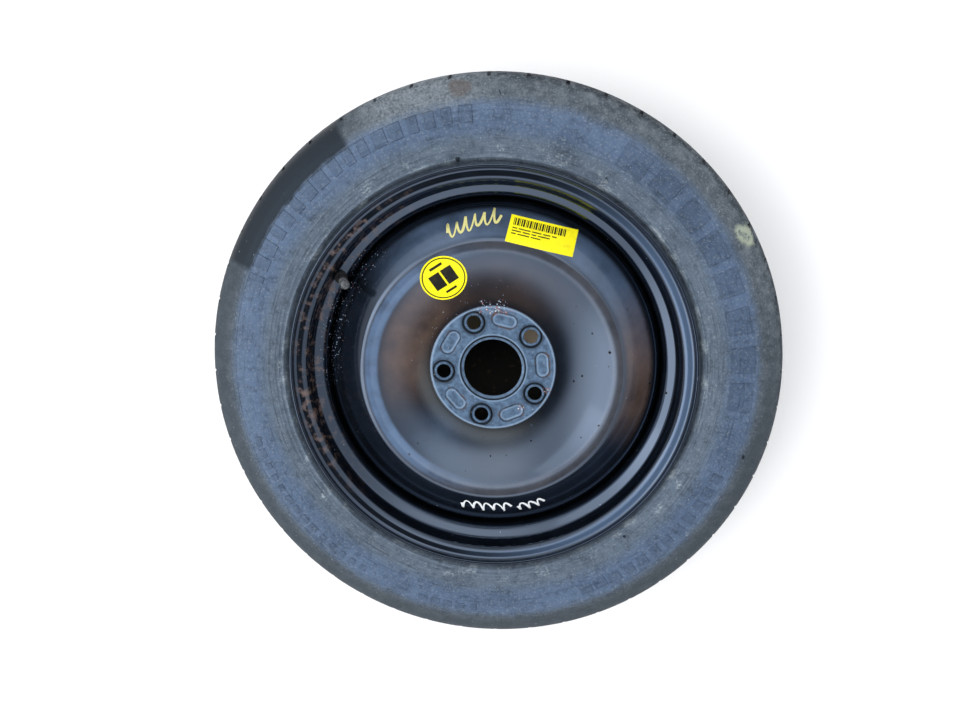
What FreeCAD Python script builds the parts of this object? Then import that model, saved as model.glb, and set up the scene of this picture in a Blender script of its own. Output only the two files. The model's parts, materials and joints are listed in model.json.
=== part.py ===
import FreeCAD, Part
import math
import os

# Temporary-use spare wheel: a narrow tyre on a black steel rim and disc, with a snap-in valve.
# Millimetres. The wheel axis is Z, the outboard face looks along +Z, z = 0 is the rim's middle plane.

# Rim: a rolled steel barrel
rim_width = 101.6
bead_seat_radius = 202.8
bead_seat_width = 20.0
bead_seat_taper = 5.0
flange_height = 14.1
flange_curl_width = 9.0
flange_curl_radius = 8.0
flange_heel_radius = 5.0
rim_gauge = 2.8
well_depth = 15.8
well_floor_inboard_z = -18.0
ledge_slope = 27.0

# Disc: one steel pressing, pushed into the rim's well
hub_offset = 26.0
disc_gauge = 4.2
disc_fit_clearance = 0.1
hub_pad_radius = 68.0
dish_start_slope = 5.0
dish_bend_at = 98.0
dish_bend_radius = 150.0
crown_radius = 137.0
crown_flat = 8.0
crown_rise = 19.3
outer_slope = 36.0
shoulder_bend_radius = 22.0
disc_edge_z = -14.0

# Hub pad: bore, bolt seats and coined oblongs
hub_bore_radius = 31.7
bore_chamfer_width = 3.2
bore_chamfer_depth = 1.5
bolt_count = 5
bolt_circle_radius = 54.0
bolt_hole_radius = 7.8
bolt_seat_outer_radius = 13.3
bolt_seat_inner_radius = 9.8
bolt_seat_depth = 2.2
first_bolt_angle = 40.2
oblong_length = 28.0
oblong_width = 15.0
oblong_depth = 0.9

# Welds between the disc's edge and the rim's well
weld_count = 8
weld_leg = 4.0
weld_span = 26.0

# Tyre
tyre_radius = 309.5
tyre_section_width = 127.0
tyre_widest_radius = 256.0
tread_width = 84.0
tread_crown_drop = 4.0
tread_thickness = 10.0
groove_count = 3
groove_spacing = 25.0
groove_width = 6.0
groove_depth = 5.5
notch_count = 48
notch_width = 3.4
notch_depth = 3.0
notch_tread_reach = 8.0
notch_shoulder_reach = 5.0
sidewall_thickness = 6.0
shoulder_radius = 286.0
shoulder_inset = 6.0
shoulder_thickness = 8.0
shoulder_corner_height = 5.5
shoulder_corner_width = 8.0
rim_rib_gap = 6.6
rim_rib_inset = 4.9
rim_rib_width = 1.6
rim_rib_height = 0.9
bead_thickness = 13.0
bead_width = 19.0
bead_heel_radius = 6.5
bead_clearance = 0.3
chafer_lift = 1.2
chafer_reach = 2.1

# Valve: snap-in rubber valve, square to the well's outboard slope
valve_angle = 148.8
valve_hole_radius = 5.75
valve_hole_from_well = 6.8
valve_neck_clearance = 0.05
valve_seat_clearance = 0.15
valve_bulb_radius = 6.4
valve_bulb_length = 9.0
valve_shoulder_radius = 7.0
valve_shoulder_height = 3.0
valve_shoulder_taper = 1.6
valve_body_top_radius = 5.2
valve_body_height = 17.0
valve_bond_clearance = 0.02
stem_shank_radius = 2.9
stem_shoulder_height = 0.8
stem_thread_radius = 3.85
stem_top = 28.0
stem_tail = 1.0
stem_bore_radius = 1.7
core_chamber_radius = 2.6
core_chamber_floor = 15.0
core_seat_height = 1.0
core_clearance = 0.04
core_recess = 1.2
core_gasket_height = 2.0
core_barrel_radius = 1.6
core_barrel_bottom = 8.0
core_guide_height = 1.0
core_spring_room_radius = 1.3
pin_radius = 0.6
pin_clearance = 0.06
pin_recess = 0.6
pin_collar_radius = 1.1
pin_collar_height = 0.8
pin_head_radius = 1.3
pin_head_height = 1.0
pin_seal_height = 0.45
seal_gap = 0.02
spring_wire = 0.3
spring_mean_radius = 0.93
spring_turns = 3.0
spring_length = 5.0
cap_wall = 1.0
cap_thread_clearance = 0.05
cap_skirt_gap = 0.6
cap_seal_height = 0.9
cap_seal_inset = 0.3
cap_top_thickness = 1.2
cap_top_bevel = 1.2

# Bends of the pressed and moulded sections are drawn as flats, which keeps the solids light
bend_flats = 2

# Places that several pieces share
axis_origin = FreeCAD.Vector(0, 0, 0)
axis_y = FreeCAD.Vector(0, 1, 0)
axis_z = FreeCAD.Vector(0, 0, 1)
rim_half = rim_width / 2
flange_radius = bead_seat_radius + flange_height
flange_tip_z = rim_half + flange_curl_width
rim_rib_radius = flange_radius + rim_rib_gap
seat_slope = math.tan(math.radians(bead_seat_taper))
seat_end_radius = bead_seat_radius - bead_seat_width * seat_slope
seat_end_z = rim_half - bead_seat_width
well_radius = bead_seat_radius - well_depth
well_inner_radius = well_radius - rim_gauge
ledge_foot_z = seat_end_z - (seat_end_radius - well_radius) * math.tan(math.radians(ledge_slope))
hub_pad_z = hub_offset + disc_gauge
disc_edge_radius = well_inner_radius - disc_fit_clearance
bolt_pitch = 360 / bolt_count


def section_point(radius, z):
    """A point of the half section, in the XZ plane."""
    return FreeCAD.Vector(radius, 0, z)


def bend_reaches(points, bends):
    """How far each corner's arc reaches along its two runs, never past the room that the runs have."""
    reaches = [0.0]
    for before, here, after, bend in zip(points, points[1:], points[2:], bends[1:]):
        half_angle = (before - here).getAngle(after - here) / 2
        reaches.append(bend / math.tan(half_angle))
    reaches.append(0.0)
    shares = [1.0] * len(points)
    for index in range(len(points) - 1):
        wanted = reaches[index] + reaches[index + 1]
        room = points[index].distanceToPoint(points[index + 1])
        if wanted > room:
            shares[index] = min(shares[index], room / wanted)
            shares[index + 1] = min(shares[index + 1], room / wanted)
    return [reach * share for reach, share in zip(reaches, shares)]


def bend_edges(corner, first, last):
    """The bend of a corner: flats between points of the arc from its first to its last point."""
    half_angle = (first - corner).getAngle(last - corner) / 2
    reach = first.distanceToPoint(corner)
    bend = reach * math.tan(half_angle)
    towards = (first + last) / 2 - corner
    centre = corner + towards.normalize() * (reach / math.cos(half_angle))
    points = [first]
    for index in range(1, bend_flats):
        share = index / bend_flats
        spoke = (first - centre) * (1 - share) + (last - centre) * share
        points.append(centre + spoke.normalize() * bend)
    points.append(last)
    return [Part.LineSegment(here, there).toShape() for here, there in zip(points, points[1:])]


def rounded_edges(corners):
    """Lines through (radius, z, bend) corners, with a tangent bend at each corner that has one."""
    points = [section_point(corner[0], corner[1]) for corner in corners]
    reaches = bend_reaches(points, [corner[2] for corner in corners])
    edges = []
    start = points[0]
    for before, here, after, reach in zip(points, points[1:], points[2:], reaches[1:]):
        back = (before - here).normalize()
        ahead = (after - here).normalize()
        arc_start = here + back * reach
        if start.distanceToPoint(arc_start) > 1e-6:
            edges.append(Part.LineSegment(start, arc_start).toShape())
        start = arc_start
        if reach > 0:
            start = here + ahead * reach
            edges += bend_edges(here, arc_start, start)
    if start.distanceToPoint(points[-1]) > 1e-6:
        edges.append(Part.LineSegment(start, points[-1]).toShape())
    return edges


def turned(section, sweep=360):
    """A solid of revolution about the Z axis from a closed half section."""
    return section.revolve(axis_origin, axis_z, sweep)


def turned_outline(points, sweep=360):
    """A solid of revolution from a closed list of (radius, z) points."""
    corners = [(radius, z, 0) for radius, z in points]
    return turned(Part.Face(Part.Wire(rounded_edges(corners + corners[:1]))), sweep)


def turned_sheet(corners, gauge):
    """A sheet-metal ring: the line through the corners thickened by the gauge and turned."""
    line = Part.Wire(rounded_edges(corners))
    return turned(line.makeOffset2D(gauge, join=2, fill=True, openResult=True))


def turned_by(angle, shape):
    """A copy of a shape turned about the wheel axis by an angle in degrees."""
    copy = shape.copy()
    copy.rotate(axis_origin, axis_z, angle)
    return copy


def around(shape, count, first_angle):
    """Copies of a shape spaced evenly round the wheel axis."""
    return [turned_by(first_angle + index * 360 / count, shape) for index in range(count)]


def on_valve_axis(shape):
    """A shape built along Z, set square to the ledge of the well at the valve's place."""
    slope = math.radians(ledge_slope)
    seat_radius = well_radius + valve_hole_from_well * math.cos(slope)
    seat_z = ledge_foot_z + valve_hole_from_well * math.sin(slope)
    copy = shape.copy()
    copy.rotate(axis_origin, axis_y, -ledge_slope)
    copy.translate(section_point(seat_radius, seat_z))
    return turned_by(valve_angle, copy)


def make_rim():
    """Barrel with curled flanges, tapered bead seats and a drop-centre well, drilled for the valve."""
    outboard = [
        (flange_radius, flange_tip_z, 0),
        (flange_radius, rim_half, flange_curl_radius),
        (bead_seat_radius, rim_half, flange_heel_radius),
        (seat_end_radius, seat_end_z, 0),
    ]
    well = [(well_radius, ledge_foot_z, 0), (well_radius, well_floor_inboard_z, 0)]
    inboard = [(radius, -z, bend) for radius, z, bend in reversed(outboard)]
    barrel = turned_sheet(outboard + well + inboard, -rim_gauge)
    drill = Part.makeCylinder(valve_hole_radius, 4 * rim_gauge, section_point(0, -2 * rim_gauge))
    return barrel.cut(on_valve_axis(drill))


def make_bolt_seat():
    """The cutter of one bolt hole: a conical nut seat over a straight hole."""
    seat_floor_z = hub_pad_z - bolt_seat_depth
    overshoot = (bolt_seat_outer_radius - bolt_seat_inner_radius) / bolt_seat_depth
    cutter = turned_outline([
        (0, hub_offset - disc_gauge),
        (bolt_hole_radius, hub_offset - disc_gauge),
        (bolt_hole_radius, seat_floor_z),
        (bolt_seat_inner_radius, seat_floor_z),
        (bolt_seat_outer_radius + overshoot, hub_pad_z + 1),
        (0, hub_pad_z + 1),
    ])
    cutter.translate(section_point(bolt_circle_radius, 0))
    return cutter


def make_oblong():
    """The cutter of one coined oblong: a shallow stadium, long across the radius."""
    run = (oblong_length - oblong_width) / 2
    half = oblong_width / 2
    near = bolt_circle_radius - half
    far = bolt_circle_radius + half
    floor_z = hub_pad_z - oblong_depth
    near_left = FreeCAD.Vector(near, -run, floor_z)
    near_right = FreeCAD.Vector(near, run, floor_z)
    far_left = FreeCAD.Vector(far, -run, floor_z)
    far_right = FreeCAD.Vector(far, run, floor_z)
    left_end = FreeCAD.Vector(bolt_circle_radius, -run - half, floor_z)
    right_end = FreeCAD.Vector(bolt_circle_radius, run + half, floor_z)
    outline = Part.Wire([
        Part.LineSegment(near_left, near_right).toShape(),
        Part.Arc(near_right, right_end, far_right).toShape(),
        Part.LineSegment(far_right, far_left).toShape(),
        Part.Arc(far_left, left_end, near_left).toShape(),
    ])
    return Part.Face(outline).extrude(section_point(0, disc_gauge))


def make_wheel_disc():
    """Pressed disc: hub pad, rising dish, crown, outer slope and the edge that lies in the rim's well."""
    crown_z = hub_pad_z + crown_rise
    dish_z = hub_pad_z + (dish_bend_at - hub_pad_radius) * math.tan(math.radians(dish_start_slope))
    crest_inner = crown_radius - crown_flat / 2
    crest_outer = crown_radius + crown_flat / 2
    shoulder_z = crown_z - (disc_edge_radius - crest_outer) * math.tan(math.radians(outer_slope))
    pressing = turned_sheet([
        (hub_bore_radius, hub_pad_z, 0),
        (hub_pad_radius, hub_pad_z, 0),
        (dish_bend_at, dish_z, dish_bend_radius),
        (crest_inner, crown_z, 0),
        (crest_outer, crown_z, 0),
        (disc_edge_radius, shoulder_z, shoulder_bend_radius),
        (disc_edge_radius, disc_edge_z, 0),
    ], -disc_gauge)
    chamfer = turned_outline([
        (0, hub_pad_z - bore_chamfer_depth),
        (hub_bore_radius, hub_pad_z - bore_chamfer_depth),
        (hub_bore_radius + bore_chamfer_width, hub_pad_z),
        (0, hub_pad_z),
    ])
    seats = around(make_bolt_seat(), bolt_count, first_bolt_angle)
    oblongs = around(make_oblong(), bolt_count, first_bolt_angle + bolt_pitch / 2)
    return pressing.cut([chamfer] + seats + oblongs)


def make_weld_beads():
    """Short fillet welds in the corner between the disc's edge and the well's floor."""
    corner = (well_inner_radius, disc_edge_z)
    down_the_well = (well_inner_radius, disc_edge_z - weld_leg)
    along_the_edge = (well_inner_radius - weld_leg, disc_edge_z)
    bead = turned_outline([corner, down_the_well, along_the_edge], weld_span)
    return Part.makeCompound(around(bead, weld_count, valve_angle))


def make_tyre():
    """Casing with beads on the rim's seats, bulged sidewalls and a grooved tread."""
    half_width = tyre_section_width / 2
    heel = (bead_seat_radius + bead_clearance, rim_half - bead_clearance)
    toe = (heel[0] - bead_width * seat_slope, heel[1] - bead_width)
    chafer = (flange_radius + chafer_reach, heel[1] + chafer_lift)
    rib_foot = (rim_rib_radius + rim_rib_width, half_width - rim_rib_inset)
    rib_crest_z = rib_foot[1] + rim_rib_height
    rib_crest = [(rim_rib_radius + side * rim_rib_width / 2, rib_crest_z) for side in (-1, 1)]
    shoulder = (shoulder_radius, half_width - shoulder_inset)
    tread_edge = (tyre_radius - tread_crown_drop, tread_width / 2)
    shoulder_corner = (tread_edge[0] - shoulder_corner_height, tread_edge[1] + shoulder_corner_width)
    outer_groove = (tyre_radius, (groove_count - 1) * groove_spacing / 2)
    liner_foot = (rim_rib_radius, rib_foot[1] - bead_thickness)
    liner_shoulder = (shoulder[0], shoulder[1] - shoulder_thickness)
    liner_edge = (tyre_radius - tread_thickness, tread_edge[1] - sidewall_thickness)

    bead_edges = rounded_edges([
        toe + (0,),
        heel + (bead_heel_radius,),
        (flange_radius - flange_curl_radius, heel[1], 0),
        chafer + (0,),
        rib_crest[0] + (0,),
        rib_crest[1] + (0,),
        rib_foot + (0,),
    ])
    widest = section_point(tyre_widest_radius, half_width)
    sidewall = Part.Arc(section_point(*rib_foot), widest, section_point(*shoulder)).toShape()
    tread_edges = rounded_edges([
        shoulder + (0,),
        shoulder_corner + (0,),
        tread_edge + (0,),
        outer_groove + (0,),
    ])
    liner_edges = rounded_edges([
        toe + (0,),
        liner_foot + (0,),
        (tyre_widest_radius, half_width - sidewall_thickness, 0),
        liner_shoulder + (0,),
        liner_edge + (0,),
    ])
    outboard = bead_edges + [sidewall] + tread_edges + liner_edges
    inboard = [edge.mirror(axis_origin, axis_z) for edge in outboard]
    tread_crown = across_the_middle(outer_groove)
    liner_crown = across_the_middle(liner_edge)
    loop = Part.__sortEdges__(outboard + inboard + [tread_crown, liner_crown])
    casing = turned(Part.Face(Part.Wire(loop)))
    grooves = [make_groove(outer_groove[1] - index * groove_spacing) for index in range(groove_count)]
    notch = make_notch(outer_groove, tread_edge, shoulder_corner)
    far_notch = notch.mirror(axis_origin, axis_z)
    notches = around(notch, notch_count, 0) + around(far_notch, notch_count, 0)
    return casing.cut(grooves + notches)


def across_the_middle(point):
    """A line along the wheel axis from a section point to its mirror image."""
    radius, z = point
    return Part.LineSegment(section_point(radius, z), section_point(radius, -z)).toShape()


def make_groove(z):
    """The cutter of one groove round the tread."""
    floor_radius = tyre_radius - groove_depth
    return turned_outline([
        (floor_radius, z - groove_width / 2),
        (tyre_radius + 1, z - groove_width / 2),
        (tyre_radius + 1, z + groove_width / 2),
        (floor_radius, z + groove_width / 2),
    ])


def make_notch(outer_groove, tread_edge, shoulder_corner):
    """The cutter of one short notch across the edge of the tread, from the outer rib down to the shoulder."""
    tread_slope = (tread_edge[0] - outer_groove[0]) / (tread_edge[1] - outer_groove[1])
    shoulder_slope = (shoulder_corner[0] - tread_edge[0]) / (shoulder_corner[1] - tread_edge[1])
    start_z = tread_edge[1] - notch_tread_reach
    end_z = tread_edge[1] + notch_shoulder_reach
    start_radius = tread_edge[0] - notch_tread_reach * tread_slope - notch_depth
    end_radius = tread_edge[0] + notch_shoulder_reach * shoulder_slope - notch_depth
    sweep = math.degrees(notch_width / tyre_radius)
    return turned_outline([
        (start_radius, start_z),
        (tyre_radius + 1, start_z),
        (tyre_radius + 1, end_z),
        (end_radius, end_z),
    ], sweep)


def make_valve_body():
    """Rubber of the snap-in valve: bulb in the tyre, neck in the rim's hole, shouldered tower outside."""
    bore = stem_shank_radius + valve_bond_clearance
    neck = valve_hole_radius - valve_neck_clearance
    bulb_end = -valve_seat_clearance - valve_bulb_length
    neck_top = rim_gauge + valve_seat_clearance
    shoulder_top = neck_top + valve_shoulder_height
    return turned_outline([
        (bore, bulb_end),
        (valve_bulb_radius, bulb_end),
        (valve_bulb_radius, -valve_seat_clearance),
        (neck, -valve_seat_clearance),
        (neck, neck_top),
        (valve_shoulder_radius, neck_top),
        (valve_shoulder_radius, shoulder_top),
        (valve_body_top_radius, shoulder_top + valve_shoulder_taper),
        (valve_body_top_radius, valve_body_height),
        (bore, valve_body_height),
    ])


def make_valve_stem():
    """Brass tube in the rubber, with a wider threaded end and a chamber for the core."""
    tail = -valve_seat_clearance - valve_bulb_length - stem_tail
    return turned_outline([
        (stem_bore_radius, tail),
        (stem_shank_radius, tail),
        (stem_shank_radius, valve_body_height),
        (stem_thread_radius, valve_body_height + stem_shoulder_height),
        (stem_thread_radius, stem_top),
        (core_chamber_radius, stem_top),
        (core_chamber_radius, core_chamber_floor + core_seat_height),
        (stem_bore_radius, core_chamber_floor),
    ])


def make_valve_core_body():
    """Core screwed into the stem: a head in the chamber and a barrel that guides the pin at both ends."""
    top = stem_top - core_recess
    head = core_chamber_radius - core_clearance
    head_bottom = core_chamber_floor + core_seat_height + core_gasket_height + 2 * seal_gap
    guide = pin_radius + pin_clearance
    return turned_outline([
        (guide, core_barrel_bottom),
        (core_barrel_radius, core_barrel_bottom),
        (core_barrel_radius, head_bottom),
        (head, head_bottom),
        (head, top),
        (guide, top),
        (guide, top - core_guide_height),
        (core_spring_room_radius, top - core_guide_height),
        (core_spring_room_radius, core_barrel_bottom + core_guide_height),
        (guide, core_barrel_bottom + core_guide_height),
    ])


def make_valve_core_gasket():
    """Ring that seals the core against the chamber's floor."""
    bottom = core_chamber_floor + core_seat_height + seal_gap
    return turned_outline([
        (core_barrel_radius + seal_gap, bottom),
        (core_chamber_radius - core_clearance, bottom),
        (core_chamber_radius - core_clearance, bottom + core_gasket_height),
        (core_barrel_radius + seal_gap, bottom + core_gasket_height),
    ])


def make_valve_pin():
    """Rod through the core, with a collar for the spring and a head that carries the seal."""
    seal_bottom = core_barrel_bottom - seal_gap - pin_seal_height
    collar_bottom = core_barrel_bottom + core_guide_height + spring_length + 2 * seal_gap
    return turned_outline([
        (0, seal_bottom - pin_head_height),
        (pin_head_radius, seal_bottom - pin_head_height),
        (pin_head_radius, seal_bottom),
        (pin_radius, seal_bottom),
        (pin_radius, collar_bottom),
        (pin_collar_radius, collar_bottom),
        (pin_collar_radius, collar_bottom + pin_collar_height),
        (pin_radius, collar_bottom + pin_collar_height),
        (pin_radius, stem_top - pin_recess),
        (0, stem_top - pin_recess),
    ])


def make_valve_pin_seal():
    """Washer on the pin's head that shuts the barrel's lower end."""
    top = core_barrel_bottom - seal_gap
    return turned_outline([
        (pin_radius + seal_gap, top - pin_seal_height),
        (pin_head_radius, top - pin_seal_height),
        (pin_head_radius, top),
        (pin_radius + seal_gap, top),
    ])


def make_valve_spring():
    """Coil between the barrel's lower guide and the pin's collar, of square wire."""
    rise = spring_length - spring_wire
    coil = Part.makeHelix(rise / spring_turns, rise, spring_mean_radius)
    half = spring_wire / 2
    corners = [
        FreeCAD.Vector(spring_mean_radius - half, 0, -half),
        FreeCAD.Vector(spring_mean_radius + half, 0, -half),
        FreeCAD.Vector(spring_mean_radius + half, 0, half),
        FreeCAD.Vector(spring_mean_radius - half, 0, half),
    ]
    wire_section = Part.makePolygon(corners + corners[:1])
    spring = Part.Wire(coil.Edges).makePipeShell([wire_section], True, True)
    spring.translate(section_point(0, core_barrel_bottom + core_guide_height + seal_gap + half))
    return spring


def make_valve_cap():
    """Dust cap over the stem's thread, with a bevelled top."""
    inner = stem_thread_radius + cap_thread_clearance
    outer = inner + cap_wall
    skirt = valve_body_height + cap_skirt_gap
    ceiling = stem_top + cap_seal_height + 2 * seal_gap
    top = ceiling + cap_top_thickness
    return turned_outline([
        (inner, skirt),
        (outer, skirt),
        (outer, top - cap_top_bevel),
        (outer - cap_top_bevel, top),
        (0, top),
        (0, ceiling),
        (inner, ceiling),
    ])


def make_valve_cap_seal():
    """Washer between the stem's end and the cap's ceiling."""
    radius = stem_thread_radius - cap_seal_inset
    return Part.makeCylinder(radius, cap_seal_height, section_point(0, stem_top + seal_gap))


pieces = {
    "tyre": make_tyre(),
    "rim": make_rim(),
    "wheel_disc": make_wheel_disc(),
    "weld_beads": make_weld_beads(),
    "valve_body": on_valve_axis(make_valve_body()),
    "valve_stem": on_valve_axis(make_valve_stem()),
    "valve_core_body": on_valve_axis(make_valve_core_body()),
    "valve_core_gasket": on_valve_axis(make_valve_core_gasket()),
    "valve_pin": on_valve_axis(make_valve_pin()),
    "valve_pin_seal": on_valve_axis(make_valve_pin_seal()),
    "valve_spring": on_valve_axis(make_valve_spring()),
    "valve_cap": on_valve_axis(make_valve_cap()),
    "valve_cap_seal": on_valve_axis(make_valve_cap_seal()),
}

os.makedirs("parts", exist_ok=True)
for name, shape in pieces.items():
    shape.exportStep("parts/" + name + ".step")
    print(name, "valid" if shape.isValid() else "INVALID", round(shape.Volume, 1))
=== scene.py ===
import json
import logging
import math
from dataclasses import dataclass
from enum import Enum
from functools import cached_property
from typing import Any, Iterable, Sequence

import bmesh
import bpy
from bmesh.types import BMesh, BMFace
from mathutils import Matrix, Vector
from mathutils.bvhtree import BVHTree


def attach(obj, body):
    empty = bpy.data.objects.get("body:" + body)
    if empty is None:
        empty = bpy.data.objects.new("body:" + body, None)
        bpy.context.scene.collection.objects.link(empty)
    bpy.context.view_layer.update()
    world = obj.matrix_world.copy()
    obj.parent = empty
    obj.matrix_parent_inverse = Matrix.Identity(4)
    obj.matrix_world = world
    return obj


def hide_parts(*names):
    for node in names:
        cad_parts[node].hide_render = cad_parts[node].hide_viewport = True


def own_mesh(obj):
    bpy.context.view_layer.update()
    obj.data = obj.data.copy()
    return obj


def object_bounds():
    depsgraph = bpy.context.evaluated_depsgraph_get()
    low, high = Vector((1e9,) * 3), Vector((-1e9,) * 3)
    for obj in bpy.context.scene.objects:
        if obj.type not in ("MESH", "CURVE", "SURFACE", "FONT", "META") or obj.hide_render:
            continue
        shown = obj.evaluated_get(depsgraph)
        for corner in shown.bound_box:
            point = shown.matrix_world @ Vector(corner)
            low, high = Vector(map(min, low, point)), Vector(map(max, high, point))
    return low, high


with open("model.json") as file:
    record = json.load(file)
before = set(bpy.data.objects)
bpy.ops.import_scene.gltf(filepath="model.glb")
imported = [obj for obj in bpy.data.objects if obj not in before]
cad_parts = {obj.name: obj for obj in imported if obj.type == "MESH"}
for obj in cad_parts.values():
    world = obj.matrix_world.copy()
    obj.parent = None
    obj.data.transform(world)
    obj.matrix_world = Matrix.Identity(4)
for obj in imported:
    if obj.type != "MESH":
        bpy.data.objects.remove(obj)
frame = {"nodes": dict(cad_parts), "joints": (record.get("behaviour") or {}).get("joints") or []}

CAD_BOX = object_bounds()
MM = 0.001
FULL_TURN = 2 * math.pi
BOLT_CIRCLE = 54.0
BOLT_COUNT = 5
FIRST_BOLT = 40.2
LOG = logging.getLogger("spare_wheel")

Colour = tuple[float, float, float, float]


class Body(str, Enum):
    """The bodies of the frame that pieces ride on."""

    WHEEL = "wheel"
    CAP = "cap"


class Slot(str, Enum):
    """The record's material slots."""

    TYRE = "tyre_rubber"
    PAINT = "black_paint"
    VALVE_RUBBER = "valve_rubber"
    BRASS = "stem_brass"
    SPRING = "spring_steel"
    CAP = "cap_plastic"


def hex_colour(code: str) -> Colour:
    """Turns an sRGB hex code into a linear colour.

    Args:
        code: Six hex digits.

    Returns:
        Linear red, green and blue, and full alpha.
    """
    channels = [int(code[start:start + 2], 16) / 255 for start in (0, 2, 4)]
    linear = [c / 12.92 if c <= 0.04045 else ((c + 0.055) / 1.055) ** 2.4 for c in channels]
    return (*linear, 1.0)


SKY_TINT = hex_colour("c6e0ff")


def polar(radius: float, angle: float, z: float = 0.0) -> Vector:
    """Places a point round the wheel axis.

    Args:
        radius: Distance from the axis, in millimetres.
        angle: Degrees from +X towards +Y.
        z: Height, in millimetres.

    Returns:
        The point, in metres.
    """
    turn = math.radians(angle)
    return Vector((radius * math.cos(turn), radius * math.sin(turn), z)) * MM


class Nodes:
    """A node tree that nodes are added to."""

    def __init__(self, tree: bpy.types.NodeTree) -> None:
        """Keeps the tree."""
        self.tree = tree

    def add(self, kind: str, inputs: dict | None = None, out: str | int = 0, **settings: Any) -> Any:
        """Adds a node.

        Args:
            kind: The node's type.
            inputs: Values or sockets for its inputs, by name or number.
            out: The wanted output, by name or number.
            **settings: The node's own properties.

        Returns:
            Socket of that output.
        """
        node = self.tree.nodes.new(kind)
        for name, value in settings.items():
            setattr(node, name, value)
        for key, value in (inputs or {}).items():
            self.join(value, node.inputs[key])
        return node.outputs[out]

    def join(self, value: Any, socket: bpy.types.NodeSocket) -> None:
        """Links a socket to an input, or sets the input to a value."""
        if isinstance(value, bpy.types.NodeSocket):
            self.tree.links.new(value, socket)
        else:
            socket.default_value = value


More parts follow.
